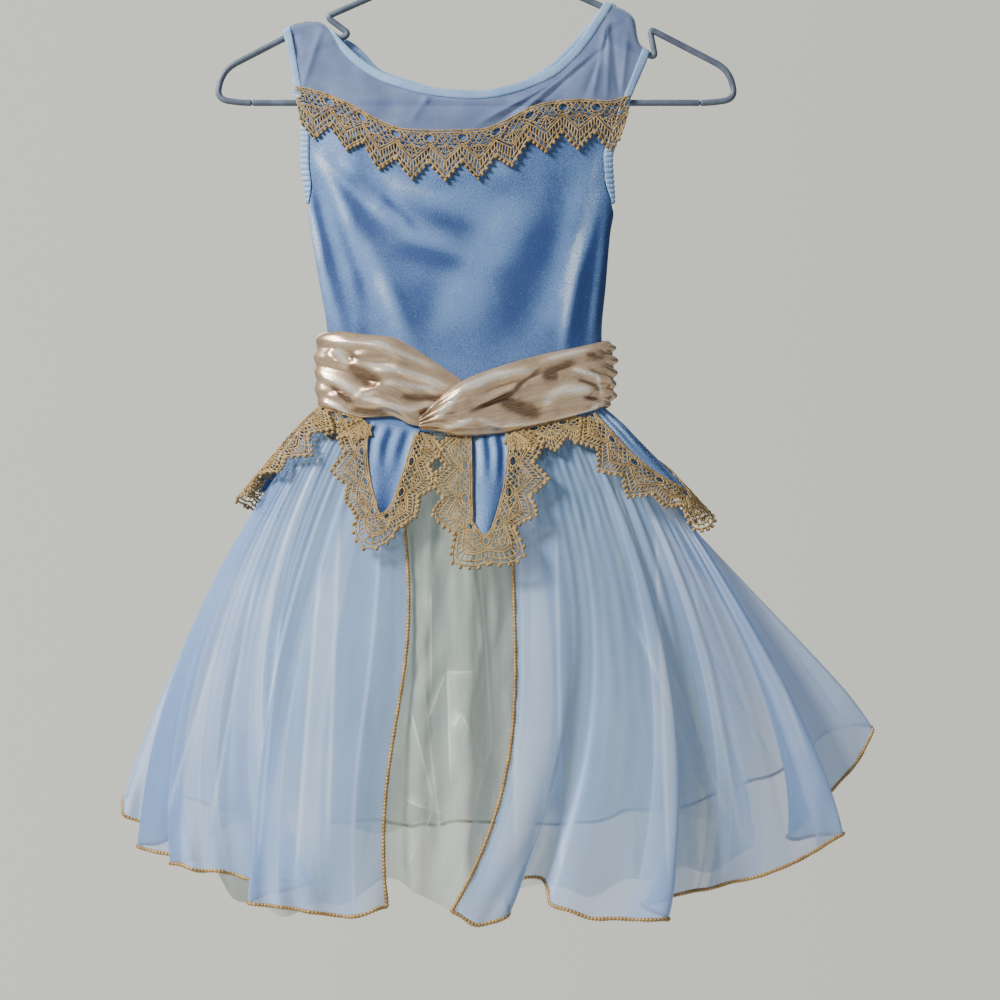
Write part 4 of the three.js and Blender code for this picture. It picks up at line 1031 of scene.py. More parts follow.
def lace_motif():
    """The threads of one repeat in shares of its length and depth, x from -0.5 to 0.5 about the tooth's
    tip, y from 0 at the cord to 1 at the tip. Returns lines of 14 points, each line's thickness, and the
    places of its picot beads."""
    lines, sizes = [], []
    t = np.linspace(0, 1, 14)

    def add(x, y, size):
        lines.append(np.stack([x + 0 * t, y + 0 * t], -1))
        sizes.append(size)

    eye = np.array([0.5, 0.16])
    eye_x, eye_y = 0.155, 0.085
    # The zigzags: height in the valley and at the tooth's tip
    outer, middle, inner, lowest = (0.60, 0.975), (0.49, 0.85), (0.335, 0.66), (0.28, 0.59)

    def valley(x, low, tip):
        """Zigzag lines: height of the edge over x."""
        return lerp(tip, low, np.abs(2 * x))

    for half in (-1, 1):
        # Two cords along the top and the ladder between them
        add(half * 0.25 + (t - 0.5) * 0.5, 0.015, 0.62)
        add(half * 0.25 + (t - 0.5) * 0.5, 0.06, 0.5)
        for zigzag, size in ((outer, 0.74), (middle, 0.56), (inner, 0.66), (lowest, 0.46)):
            x = half * t * 0.5
            add(x, valley(x, *zigzag), size)
        # Slanted bars between the zigzags
        for x0 in np.linspace(0.04, 0.46, 6):
            x = half * x0 + half * (t - 0.5) * 0.03
            add(x, lerp(valley(half * x0, *inner), valley(half * x0, *middle), t), 0.52)
        for x0 in np.linspace(0.06, 0.44, 4):
            x = half * x0 + 0 * t
            add(x, lerp(valley(x, *middle), valley(x, *outer), t), 0.46)
        # Half of each open eyelet, and the rays round it
        for growth, size in ((1.0, 0.6), (1.75, 0.46)):
            angle = np.pi / 2 + t * np.pi if half > 0 else -np.pi / 2 + t * np.pi
            y = np.maximum(eye[1] + eye_y * growth * np.sin(angle), 0.02)
            add(half * eye[0] + eye_x * growth * np.cos(angle), y, size)
        for angle in np.radians([-58, -28, 4, 36, 68]):
            reach = lerp(1.0, 1.75, t)
            x = half * (eye[0] - eye_x * reach * np.cos(angle))
            add(x, np.maximum(eye[1] + eye_y * reach * np.sin(angle), 0.02), 0.36)
    # Net between the eyelets: wavy rows that touch their neighbours
    for k, y0 in enumerate((0.11, 0.19, 0.27, 0.35)):
        reach = 0.24 if y0 < 0.25 else 0.42 - 0.3 * (y0 - 0.25)
        x = (2 * t - 1) * reach
        add(x, y0 + 0.036 * np.cos(x * 34 + k * np.pi), 0.46)
    # Fan inside the tooth
    for x1, y1 in ((-0.30, 0.40), (-0.17, 0.50), (0.0, 0.60), (0.17, 0.50), (0.30, 0.40)):
        add(x1 * t, lerp(0.30, y1, t), 0.42)
    bow = (2 * t - 1) * 0.2
    add(bow, 0.46 - 1.6 * bow ** 2, 0.4)
    add(bow * 0.6, 0.545 - 1.6 * bow ** 2, 0.38)
    share = np.array([0.16, 0.40, 0.64, 0.88])
    bead_x = np.concatenate([-share, share]) * 0.5
    bead_y = valley(bead_x, *outer)
    normal_x = np.sign(bead_x) * 0.045
    spots = np.stack([bead_x + normal_x, bead_y + 0.028], -1)
    spots = np.vstack([spots, [[0.0, 1.02]]])
    return np.array(lines), np.array(sizes), spots


MOTIF_LINES, MOTIF_SIZES, MOTIF_BEADS = lace_motif()
THREAD = 1.12


def lace(name, place, length, width, lift, stout=1.0):
    """Copies of the motif along a strip, each tooth a little shifted and curled up at its tip. place(s, w)
    gives the point s along the strip and w from its cord, and lift stands the threads off it."""
    count = max(1, round(length / LACE_REPEAT))
    pitch = length / count
    shift = rng.normal(0, 0.03, count)
    curl = rng.uniform(0.3, 2.4, count)

    def solve(local, k):
        small = 0.4
        s = (k + 0.5 + local[..., 0] + shift[k] * np.clip(local[..., 1] - 0.4, 0, 1)) * pitch
        w = local[..., 1] * width
        along = place(s + small, w) - place(s - small, w)
        down = place(s, w + small) - place(s, np.maximum(w - small, 0))
        normal = unit(np.cross(down, along))
        stand = lift + curl[k] * np.clip(local[..., 1] - 0.35, 0, 1) ** 1.5
        return place(s, w) + normal * stand[..., None], normal

    k = np.repeat(np.arange(count), len(MOTIF_LINES))[:, None] + np.zeros(MOTIF_LINES.shape[1], int)
    local = np.tile(MOTIF_LINES, (count, 1, 1))
    local = local + rng.normal(0, 0.004, (len(local), 1, 2))
    paths, ups = solve(local, k)
    over = rng.uniform(-0.22, 0.22, (len(paths), 1, 1)) * ups
    sizes = np.tile(MOTIF_SIZES, count)[:, None] * THREAD * stout * np.ones(paths.shape[1])
    threads = tubes(paths + over, ups, sizes, 5, flat=0.85)
    bead_k = np.repeat(np.arange(count), len(MOTIF_BEADS))
    bead_local = np.tile(MOTIF_BEADS, (count, 1))
    centres, _ = solve(bead_local, bead_k)
    return joined(name, threads, beads(centres, rng.uniform(1.35, 1.75, len(centres)) * stout))


def neck_lace():
    left, right = YOKE_SEAM["x"][0] + 2, YOKE_SEAM["x"][-1] - 1
    middle, lean = (left + right) / 2, 0.12

    def place(s, w):
        x = left + s
        flat_x = x - lean * w * (x - middle) / (right - left)
        point = body_at(FRONT, flat_x, seam_z(x) + LACE_LAP - w)
        point[..., 1] -= fold_rise(FOLDS, point[..., 0], point[..., 2]) * step(w, LACE_LAP, 3 * LACE_LAP)
        return point

    return lace("neck_lace_threads", place, right - left, NECK_LACE_WIDTH - 1.5, 2.0)


# Sash

SASH_FOLD = 0.75
# Broad creases of the satin in the front view: the long lips, the knot at the crossing and the curls
# at the right end. Painted highlights run along what stands out, and painted shade lies in the hollows
SASH_CREASES = table(
    "x0 z0 x1 z1 rise width sharp",
    (-117, -386, -65, -390, 1.3, 3.0, 2), (-80, -388, -26, -410, 1.3, 3.0, 2),
    (-112, -392, -100, -406, 1.8, 3.5, 2), (-106, -402, -54, -411, 1.9, 3.4, 2),
    (-60, -409, -16, -425, 1.6, 3.0, 2), (-90, -431, -64, -417, 1.4, 3.2, 2),
    (-70, -418, -20, -428, 1.2, 2.8, 2), (-121, -411, -86, -432, 2.2, 3.4, 1.7),
    (-90, -431, -50, -442, 1.7, 3.0, 1.7), (-58, -442, -30, -436, 1.3, 2.6, 2),
    (-119, -432, -100, -445, 1.8, 3.2, 2), (-104, -398, -74, -425, -1.8, 6, 2),
    (-60, -430, -24, -433, -1.4, 3.0, 2), (-100, -440, -66, -445, -1.3, 2.8, 2),
    (-116, -420, -96, -436, -1.5, 2.6, 2), (-31, -450, -10, -425, 2.0, 3.2, 2),
    (-14, -427, 20, -412, 1.9, 3.6, 2), (14, -414, 46, -409, 1.6, 3.2, 2),
    (-4, -443, 34, -424, -2.0, 2.2, 1.6), (30, -425, 52, -406, -2.0, 1.9, 1.6),
    (-2, -439, 36, -420, 1.2, 2.4, 1.6), (34, -421, 54, -403, 1.3, 2.0, 1.6),
    (-28, -459, 2, -447, 1.7, 2.6, 2), (0, -448, 20, -455, 1.2, 2.6, 2),
    (18, -455, 60, -451, 1.6, 2.8, 2), (56, -451, 104, -439, 1.8, 3.0, 2),
    (52, -438, 68, -423, 1.3, 5, 2), (64, -424, 94, -425, 1.7, 5.5, 2),
    (75, -408, 97, -414, 2.0, 2.0, 1.6), (96, -412, 100, -430, 2.0, 1.8, 1.6),
    (80, -417, 96, -422, -1.8, 1.8, 1.6), (84, -430, 97, -433, -1.6, 1.8, 1.6),
    (50, -403, 97, -391, 1.5, 2.6, 2), (54, -412, 80, -402, -1.4, 2.6, 2),
    (18, -434, 52, -445, -1.6, 5, 2), (52, -416, 66, -414, -1.0, 4, 2),
    (86, -396, 104, -400, -1.2, 2.0, 2), (90, -440, 104, -430, 1.3, 2.2, 2),
    (-44, -446, -34, -440, -1.2, 2.4, 2),
)
SASH_LEFT = table(
    "x low high",
    (-122, -438.6, -379), (-108, -441.4, -378.4), (-88, -447, -381), (-66, -446, -383.6),
    (-49, -453, -392), (-30, -455, -404.8), (-11, -441, -417.6),
)
SASH_RIGHT = table(
    "x low high",
    (-42, -456, -447), (-30, -458, -434), (-10, -461.6, -418.4), (15, -460, -408), (50, -452, -397.6),
    (76, -445.6, -392), (105, -437, -384.8),
)
SASH_BACK = table("x low high", (-122, -439.5, -379), (-9, -443.5, -384), (105, -438, -384.8))
# Folds of a band: place across it (0 low, 1 high) at three shares of its length, height and half width
FOLDS_LEFT = table(
    "start mid end rise width",
    (0.93, 0.84, 0.60, 1.6, 0.055), (0.80, 0.62, 0.42, -2.3, 0.055), (0.70, 0.52, 0.36, 2.0, 0.06),
    (0.58, 0.40, 0.30, -2.2, 0.05), (0.50, 0.30, 0.22, 1.5, 0.05), (0.38, 0.20, 0.14, -2.0, 0.05),
    (0.27, 0.12, 0.08, 1.4, 0.05), (0.14, 0.05, 0.04, -1.2, 0.05), (0.66, 0.74, 0.66, 1.0, 0.07),
)
FOLDS_RIGHT = table(
    "start mid end rise width",
    (0.90, 0.86, 0.92, 1.4, 0.05), (0.72, 0.70, 0.82, -2.2, 0.05), (0.62, 0.60, 0.70, 1.8, 0.06),
    (0.50, 0.46, 0.58, -1.6, 0.05), (0.40, 0.36, 0.46, 1.3, 0.06), (0.32, 0.24, 0.34, -1.6, 0.05),
    (0.22, 0.14, 0.22, 1.5, 0.06), (0.10, 0.05, 0.10, -1.3, 0.04),
)
FOLDS_BACK = table(
    "start mid end rise width",
    (0.86, 0.80, 0.84, 1.3, 0.06), (0.70, 0.60, 0.72, -1.8, 0.05), (0.55, 0.48, 0.58, 1.6, 0.06),
    (0.40, 0.34, 0.42, -1.8, 0.05), (0.26, 0.20, 0.28, 1.4, 0.06), (0.12, 0.08, 0.12, -1.2, 0.05),
)


def sash(cols, side, puff, folds, name):
    """A band round the waist between a low and a high line, puffed in the middle of its width, with long
    folds whose places across it run through three points. Its columns stand closer at its side ends."""
    u, t = grid(*SASH_GRID)
    spread = {
        "sash_left": 1 - np.cos(u * np.pi / 2),
        "sash_right": np.sin(u * np.pi / 2),
        "sash_back": (1 - np.cos(u * np.pi)) / 2,
    }
    first, last = cols["x"][[0, -1]]
    x = lerp(first, last, spread[name])
    s = (x - first) / (last - first)
    z = lerp(column(cols, "x", "low", x), column(cols, "x", "high", x), t)
    angle = np.arcsin(np.clip((x - WAIST["centre"]) / (WAIST["half"] + 1), -1, 1))
    flat = step(s, 0.55, 0.75) if name == "sash_left" else 0 * s
    puffed = puff * (1 - 0.75 * flat)
    out = SASH_REST + puffed * np.sqrt(np.maximum(0, 1 - (2 * t - 1) ** 4))
    for start, mid, end, rise, width in zip(*folds.values()):
        at = start * (1 - s) * (1 - 2 * s) + mid * 4 * s * (1 - s) + end * s * (2 * s - 1)
        wobble = 0.012 * np.sin(s * 17 + start * 40)
        strength = 0.75 + 0.25 * np.sin(s * 11 + mid * 30)
        height = SASH_FOLD * rise * strength * (puffed / puff)
        out += height * bump(t, at + wobble, width) * step(np.minimum(t, 1 - t), 0, 0.05)
    random = np.random.default_rng(len(name))
    for _ in range(26):
        # Short crumples across the long folds
        at_s, at_t, lean = random.uniform(0.05, 0.95), random.uniform(0.15, 0.85), random.uniform(-0.9, 0.9)
        along, aside = s - at_s, t - at_t - lean * (s - at_s)
        height = random.uniform(-1.3, 1.3) * (puffed / puff)
        out += height * bump(along, 0, 0.075) * bump(aside, 0, random.uniform(0.03, 0.09))
    if name == "sash_right":
        # Gathers pulled together at the side
        pull = step(s, 0.8, 0.97)
        out += pull * 2.0 * np.sin(t * 34 + 3 * np.sin(s * 20)) * step(np.minimum(t, 1 - t), 0, 0.08)
    if side == FRONT:
        out += fold_rise(SASH_CREASES, x, z) * step(np.minimum(t, 1 - t), 0, 0.06)
    out = np.maximum(out, 0.4 * SASH_REST)
    depth = WAIST["front"] if side == FRONT else WAIST["back"]
    points = xyz(WAIST["centre"] + (WAIST["half"] + out) * np.sin(angle),
                 side * (GAP + (depth + out) * np.cos(angle)), z)
    if name == "sash_right":
        points[..., 1] -= CROSSING_LIFT * (1 - step(s, 0.2, 0.4))
    return points


def sheen_of(points, side):
    """Painted highlights and shade, 0 to 1: light along the satin's raised creases and dark in their
    hollows, which the material paints into its colour.
    """
    laid = fold_rise(SASH_CREASES, points[..., 0], points[..., 2]) if side == FRONT else 0 * points[..., 0]
    return np.clip(0.36 + 0.34 * laid, 0, 1)


# Skirts

def ring_point(size, a, offset, z):
    """An oval ring: a is the turn from the centre front, and front and back have their own depths."""
    depth = np.where(np.cos(a * TURN) > 0, size["front"], size["back"]) + offset
    return xyz(size["centre"] + (size["half"] + offset) * np.sin(a * TURN), -depth * np.cos(a * TURN), z)


def seam_drop(a):
    return waist_dip(np.cos(a * TURN) > 0, np.cos(a * TURN))


def swing(a, t):
    """How far the skirt has swung out at t of the way down."""
    return 1 - (1 - t) ** (1.5 - 0.25 * np.sin(a * TURN))


def hung(top, low, share, t):
    """Between a waist ring and a hem ring: sideways by a share and down by t."""
    flat = lerp(top, low, share[..., None])
    return xyz(flat[..., 0], flat[..., 1], lerp(top[..., 2], low[..., 2], t))


def skirt_base(a, t, offset=0.0):
    """Smooth form under the folds: the waist ring moved to the hem ring by swing, and down by t."""
    top = ring_point(WAIST, a, offset, SEAM_Z - 1 - seam_drop(a))
    low = ring_point(HEM, a, offset, column(HEM_HEIGHT, "a", "z", a))
    return hung(top, low, swing(a, t), t)


# Gathers: how many go round a skirt, their height, and their strength at the waist and at the hem
GATHERS_OVER = ((31, 0.7, 0.9, 0.1), (17, 1.4, 0.7, 0.25), (53, 0.5, 1.1, 0.05), (8, 2.2, 0.2, 0.8))
GATHERS_UNDER = ((90, 0.6, 1.0, 0.1), (41, 1.2, 0.8, 0.3))


def ripples(s, t, waves, seed):
    """Gathers: sines of several counts round the skirt, each strongest where its height says."""
    random = np.random.default_rng(seed)
    total = np.zeros_like(s)
    for count, height, high, low in waves:
        drift = 0.5 * np.sin(s * random.uniform(5, 9) + random.uniform(0, TURN))
        phase = count * (s + 0.05 * drift) * TURN + random.uniform(0, TURN) + 0.9 * np.sin(t * 2.2 + count)
        uneven = 0.55 + 0.45 * np.sin(s * random.uniform(9, 19) + random.uniform(0, TURN))
        total += height * uneven * np.sin(phase) * step(t, 0, 0.04) * lerp(high, low, t)
    return total


def overskirt(hem_cols, opening, end, seed, columns_across):
    """A panel from the front opening to the centre back: its hem is a folded curve, and t to a power
    eases the folds into the smooth form above. Gathers are added along its own normal."""
    s, t = grid(columns_across, OVER_ROWS)
    t = t ** 0.9
    points = overskirt_point(hem_cols, opening, end, s, t)
    gathers = ripples(s, t, GATHERS_OVER, seed)
    calm = step(s, 0, 0.03) * (1 - step(s, 0.97, 1)) * (1 - 0.6 * step(t, 0.93, 1))
    # The corded edge stands in small waves
    frill = 2.6 * np.sin(s * 61 + 2 * np.sin(s * 23)) + 1.8 * np.sin(s * 143 + 3 * np.sin(s * 31 + seed))
    points[..., 2] += 0.9 * np.sin(s * 97 + 2 * np.sin(s * 41)) * step(t, 0.9, 1)
    return points + normals(points) * (gathers * calm + frill * step(t, 0.86, 1))[..., None]


def overskirt_point(hem_cols, opening, end, s, t):
    hem = Curve(hem_cols)
    low = lerp(opening["hem"], end, s)
    a = lerp(lerp(opening["waist"], end, s), low, t)
    fold = hem.by_length(s) - skirt_base(low, np.ones_like(s))
    ease = lerp(opening["swing"], FOLD_START, step(s, 0, 0.12))
    points = skirt_base(a, t) + fold * (t ** ease)[..., None]
    points[..., 0] += opening["sway"] * bump(t, opening["widest"], 0.33) * (1 - step(s, 0, 0.07))
    return points


def outward(points):
    """The smooth outward way of a skirt: away from the middle, as a flat cone would face."""
    middle = lerp(WAIST["centre"], HEM["centre"], 0.5)
    way = xyz((points[..., 0] - middle) * 0.08, points[..., 1] + 0 * points[..., 0], 0 * points[..., 2])
    return unit(way)


def net_layers(points, seed, pleats, slant=0.008, most=3.4):
    """How many times thicker the net looks along its outward way: 1 over the cosine, up to a limit, and
    more in the strips where a flat pleat laps over its neighbour."""
    facing = np.abs((normals(points) * outward(points)).sum(-1))
    layers = np.minimum(1 / np.maximum(facing, 0.05), most)
    random = np.random.default_rng(seed)
    rows, cols = points.shape[:2]
    s, t = grid(cols, rows)
    for _ in range(pleats):
        at, lean, sway = random.uniform(0.01, 0.99), random.normal(0, slant), random.uniform(0.001, 0.004)
        width, turn, weight = random.uniform(0.01, 0.06), random.uniform(0, TURN), random.uniform(0.4, 1.7)
        here = s - at - lean * t - sway * np.sin(t * 4 + turn)
        wide = width * (0.35 + 0.65 * t)
        strip = step(here, 0, 0.0016) * (1 - step(here, wide, wide + 0.002 + 0.1 * width))
        layers += weight * strip * step(t, 0, 0.1) * random.uniform(0.6, 1)
        layers += random.uniform(0.4, 1.6) * np.exp(-((here / 0.0012) ** 2)) * step(t, 0, 0.15)
    return layers


# Long creases of the blue net: x and z of both ends, how wide its fold laps, how strong
BLUE_CREASES = (
    (-120, -560, -132, -800, 18, 1.2), (-106, -520, -108, -780, 14, 1.0), (29, -540, 31, -790, 16, 1.2),
    (63, -520, 66, -800, 14, 0.9), (142, -530, 143, -800, 26, 1.3), (168, -560, 205, -780, 16, 0.9),
    (120, -600, 178, -740, 18, 0.6), (205, -540, 262, -720, 14, 1.0), (-170, -560, -205, -770, 16, 0.8),
    (-150, -600, -160, -790, 10, 0.7), (-200, -620, -240, -760, 12, 0.7), (150, -640, 196, -760, 12, 0.6),
)


def crease_layers(points, lines):
    """How much denser a net looks on the lines of its creases and over the strips beside them, as seen
    from the front."""
    layers = np.zeros(points.shape[:2])
    x, z = points[..., 0], points[..., 2]
    for k, (x0, z0, x1, z1, width, weight) in enumerate(lines):
        long = np.hypot(x1 - x0, z1 - z0)
        along = ((x - x0) * (x1 - x0) + (z - z0) * (z1 - z0)) / long ** 2
        across = ((x - x0) * (z1 - z0) - (z - z0) * (x1 - x0)) / long * (1 if k % 2 else -1)
        ends = step(along, -0.02, 0.12) * (1 - step(along, 0.8, 1.02)) * (points[..., 1] < 0)
        strip = step(across, 0, 0.8) * np.clip(1 - across / width, 0, 1)
        layers += ends * weight * (2 * np.exp(-((across / 1.4) ** 2)) + strip)
    return layers


def far_fade(points):
    """The back of a skirt thins out towards its hem, so its edge doesn't show through the front."""
    down = np.linspace(0, 1, points.shape[0])[:, None]
    return 1 - 0.72 * step(points[..., 1], -10, 60) * step(down, 0.4, 0.97)


def underskirt():
    """All round: the waist ring to its own folded hem, crumpled by ridges that cross at slants."""
    hem = Curve(HEM_UNDER, closed=True)
    s, t = grid(UNDER_COLUMNS, UNDER_ROWS)
    t = t ** 0.9
    turn = s - 0.5
    top = ring_point(WAIST, turn, -UNDER_INSET, SEAM_Z - 1 - seam_drop(turn))
    low = hem.by_length(s)
    points = hung(top, low, swing(turn, t) * 0.97 + 0.03 * t, t)
    random = np.random.default_rng(21)
    crumple = np.zeros_like(s)
    for _ in range(13):
        tilt = random.uniform(-0.75, 0.75)
        pitch = random.uniform(26, 70)
        wave = (s * 1500 + t * 380 * np.tan(tilt) + random.uniform(0, 100)) / pitch
        wave += 0.35 * np.sin(t * random.uniform(3, 8) + random.uniform(0, TURN))
        crumple += random.uniform(0.3, 1.1) * (np.abs((wave % 1) * 2 - 1) - 0.5)
    crumple += ripples(s, t, GATHERS_UNDER, 5)
    seam = np.minimum(s, 1 - s)
    calm = step(t, 0, 0.08) * step(seam, 0, 0.02)
    ragged = 4.5 * np.sin(s * 37 + 2 * np.sin(s * 11)) + 3.5 * np.sin(s * 83 + 3 * np.sin(s * 19))
    points[..., 2] += ragged * step(t, 0.4, 1) * step(seam, 0, 0.05)
    return points + normals(points) * np.clip(crumple * calm, -4.5, 4.0)[..., None]


def rolled_edge(name, points):
    """The overlocked edge: a round cord down the opening and along the hem, its radius swelling with
    every wrap of the thread."""
    down, hem = points[:, 0], points[-1]
    normal = normals(points)
    path = np.vstack([down, hem[1:]])
    up = np.vstack([normal[:, 0], normal[-1, 1:]])
    reach = reach_of(path)
    wrap = 2.7
    at = np.linspace(0, reach[-1], int(reach[-1] / (wrap / 4)))
    path = resample(at, reach, path)
    up = unit(resample(at, reach, up))
    fade = step(at / reach[-1], 0, 0.12)
    radius = lerp(0.8, 1.4, fade) * (1 + 0.24 * np.cos(at / wrap * TURN) + 0.08 * np.sin(at * 0.37))
    sway = 0.25 * np.sin(at / 11.0) + 0.2 * np.sin(at / 4.7)
    return joined(name, tubes((path + up * sway[:, None])[None], up[None], radius[None], 8))


# Peplum

# Velvet petals: both ends of the top and of the foot as turns round the skirt, drop as a share of its
# height, the power that bows the sides, how far the lace stands off, and the lace's width
PETALS = (
    ("left", (-0.34, -0.245), (-0.32, -0.275), 0.19, 1.4, 2.7, 30),
    ("centre_left", (-0.115, -0.05), (-0.076, -0.058), 0.18, 1.0, 0.2, 30),
    ("centre", (0.003, 0.05), (-0.002, 0.019), 0.215, 1.0, 0.5, 36),
    ("right", (0.172, 0.33), (0.235, 0.27), 0.24, 2.4, 1.2, 33),
    ("back_left", (-0.465, -0.39), (-0.44, -0.41), 0.2, 1.2, 0.0, 30),
    ("back_right", (0.385, 0.465), (0.41, 0.44), 0.21, 1.2, 0.0, 30),
)
# Lace over the open arches between the petals: both ends of its turn round the skirt, and its width
ARCH_LACES = (("left", -0.205, -0.122, 19), ("right", 0.058, 0.148, 19))
ARCH_MORE = 0.016
# How far the petals reach up under the sash, as a share of the skirt's height
TUCK = 0.02


def peplum_point(a, t):
    stand = PETAL_REST + PETAL_STAND * step(t, 0, 0.05) + PETAL_FLARE * t
    return skirt_base(a, t, stand)


def petal_place(top, foot, drop, bow, s, v):
    """A petal's own places on the peplum: its two ends move from top to foot, and its foot is round."""
    a = lerp(lerp(top[0], top[1], s), lerp(foot[0], foot[1], s), v ** bow)
    return a, 0.012 + drop * v * (1 - 0.16 * (2 * s - 1) ** 2)


def petal(top, foot, drop, bow, seed):
    """A velvet petal, gathered at the waist and fluted down to its foot."""
    s, v = grid(*PETAL_GRID)
    a, t = petal_place(top, foot, drop, bow, s, v)
    points = peplum_point(a, t - TUCK * (1 - step(v, 0, 0.12)))
    random = np.random.default_rng(seed)
    width = (top[1] - top[0]) * 700
    count = max(2.0, width / 24)
    flute = np.sin(s * count * TURN / 2 + random.uniform(0, TURN)) * 1.5
    small = np.sin(s * count * 3.2 * TURN / 2 + 1) * 0.8 * (1 - step(v, 0.1, 0.55))
    calm = step(np.minimum(s, 1 - s), 0, 0.12) * step(v, 0, 0.06)
    return points - normals(points) * ((flute * (0.35 + 0.65 * v) + small) * calm)[..., None]


def petal_painted_light(points):
    """Painted light and shade: light where a flute faces left, towards the key light, and dark where it
    faces away.
    """
    facing = normals(points)[..., 0] * np.where(points[..., 1].mean() < 0, 1, -1)
    facing = facing * np.sign(-normals(points)[..., 1].mean() * np.where(points[..., 1].mean() < 0, 1, -1))
    return np.clip(0.45 - 0.9 * (facing - facing.mean(axis=1, keepdims=True)), 0, 1)


def step_aside(a, t, way_a, way_t, distance):
    """Moves places on the peplum by a distance, square to their direction of travel."""
    small = 1e-3
    here = peplum_point(a, t)
    along_a = (peplum_point(a + small, t) - here) / small
    along_t = (peplum_point(a, t + small) - here) / small
    travel = along_a * way_a[..., None] + along_t * way_t[..., None]
    aside = unit(np.cross(unit(np.cross(along_a, along_t)), travel)) * distance[..., None]
    aa, at, tt = ((p * q).sum(-1) for p, q in ((along_a, along_a), (along_a, along_t), (along_t, along_t)))
    pa, pt = (along_a * aside).sum(-1), (along_t * aside).sum(-1)
    det = aa * tt - at * at
    return a + (pa * tt - pt * at) / det, t + (pt * aa - pa * at) / det


def path_lace(name, path, width, lift, pointed=0.0):
    """Lace whose cord follows a path of (a, t) places on the peplum, its teeth square to the path."""
    path = np.array(path)
    way = np.gradient(path, axis=0)
    middle = step_aside(*path.T, *way.T, np.full(len(path), width * 0.4))
    reach = 0.35 * reach_of(peplum_point(*path.T)) + 0.65 * reach_of(peplum_point(*middle))
    total = reach[-1]

    def place(s, w):
        at = np.clip(s, 0, total)
        a, t, way_a, way_t = (np.interp(at, reach, values) for values in (*path.T, *way.T))
        share = np.clip(at / total, 0, 1)
        narrow = 0.55 + 0.45 * np.sin(share * np.pi) ** 0.5
        narrow = narrow - pointed * (bump(share, 0.37, 0.075) + bump(share, 0.63, 0.075))
        aside = (w * narrow - LACE_LAP) / 3
        for _ in range(3):
            a, t = step_aside(a, t, way_a, way_t, aside)
        point = peplum_point(a, np.maximum(-0.012, t))
        point[..., 0] += s - at
        return point

    return lace(name, place, total, width, lift, 1.08)


def petal_edge(top, foot, drop, bow):
    """Down one side of a petal, round its foot and up the other."""
    v = np.linspace(0.0, 1, 14)
    s = np.linspace(0, 1, 7)[1:-1]
    places = ((0 * v, v), (s, 0 * s + 1), (0 * v + 1, v[::-1]))
    path = np.concatenate([np.stack(petal_place(top, foot, drop, bow, *p), -1) for p in places])
    path[[0, -1], 1] -= 0.5 * TUCK
    return path


# Hanger

WIRE, WIRE_END = 5, 1.2
HOOK_RADIUS = 22
HOOK_START, HOOK_SWEEP = -0.25, 1.35
NECK_Z, BAR_Z, SHOULDER_END_Z = -66, -194.4, -168
COLLAR_RADIUS, COLLAR_LENGTH = 5.4, 14
ARM_APART, HANGER_HALF = 2.9, 205.4
NOTCH = dict(tip=(119.5, -125.6), root=(101, -139.5), seat=(143.5, -158.4), lip=(138.8, -135.2))


def bent(corners, bends):
    """A polyline in the hanger's plane whose corners are rounded: each is a quadratic Bezier that starts
    and ends a bend's length from it."""
    p = np.array(corners, float)
    out = [p[:1]]
    share = np.linspace(0, 1, 9)[:, None]
    for before, here, after, bend in zip(p[:-2], p[1:-1], p[2:], bends):
        start = here + unit(before - here) * bend
        stop = here + unit(after - here) * bend
        out.append((1 - share) ** 2 * start + 2 * share * (1 - share) * here + share ** 2 * stop)
    out.append(p[-1:])
    flat = np.vstack(out)
    return xyz(flat[:, 0], 0 * flat[:, 0], flat[:, 1])


def wire(name, path):
    """A round wire along a path in the plane y = 0, its ends rounded over."""
    reach = reach_of(path)
    end = np.linspace(0, WIRE_END, 5)
    at = np.unique(np.concatenate([end, reach, reach[-1] - end]))
    path = resample(at, reach, path)
    near = np.minimum(np.minimum(at, reach[-1] - at) / WIRE_END, 1)
    size = WIRE / 2 * np.sqrt(np.maximum(1 - (1 - near) ** 2 * 0.6, 0))
    return joined(name, tubes(path[None], (DEPTH + 0 * path)[None], size[None], 20))


def hanger():
    """The hook, the collar twisted round the neck, two arms with strap notches, and the bar."""
    collar_top = NECK_Z + COLLAR_LENGTH
    angle = (HOOK_START + np.linspace(0, 1, 60) * HOOK_SWEEP) * np.pi
    arc = xyz(HOOK_RADIUS * np.cos(angle), 0 * angle, WIRE / 2 - HOOK_RADIUS + HOOK_RADIUS * np.sin(angle))
    neck = np.array([[0, 0, collar_top + GAP], [0, 0, -2 * HOOK_RADIUS + 10]])
    pieces = {"hanger_hook": wire("hook_wire", np.vstack([neck, arc]))}
    along = np.linspace(0, COLLAR_LENGTH, 160)
    collar = xyz(0 * along, 0 * along, NECK_Z + along)
    coil = COLLAR_RADIUS * (0.9 + 0.1 * np.abs(np.cos(along / 4.6 * np.pi)))
    coiled = tubes(collar[None], (DEPTH + 0 * collar)[None], coil[None], 24)
    pieces["hanger_collar"] = joined("collar_coil", coiled)
    start = NECK_Z - GAP
    for name, hand in (("left", -1), ("right", 1)):
        corners = [
            (ARM_APART, start), (ARM_APART, start - 8), *NOTCH.values(),
            (HANGER_HALF - 3, SHOULDER_END_Z), (HANGER_HALF + 2.4, BAR_Z + 3), (HANGER_HALF - 18, BAR_Z),
            (HANGER_HALF - 26, BAR_Z),
        ]
        corners = [(hand * x, z) for x, z in corners]
        path = bent(corners, (3, 5, 5, 5, 5, 12, 10, 8))
        pieces["hanger_arm_" + name] = wire("arm_wire_" + name, path)
    reach = HANGER_HALF - 26 - GAP
    bar = xyz(np.linspace(-reach, reach, 9), 0, BAR_Z)
    pieces["hanger_bar"] = wire("bar_wire", bar)
    return pieces


# Making the pieces

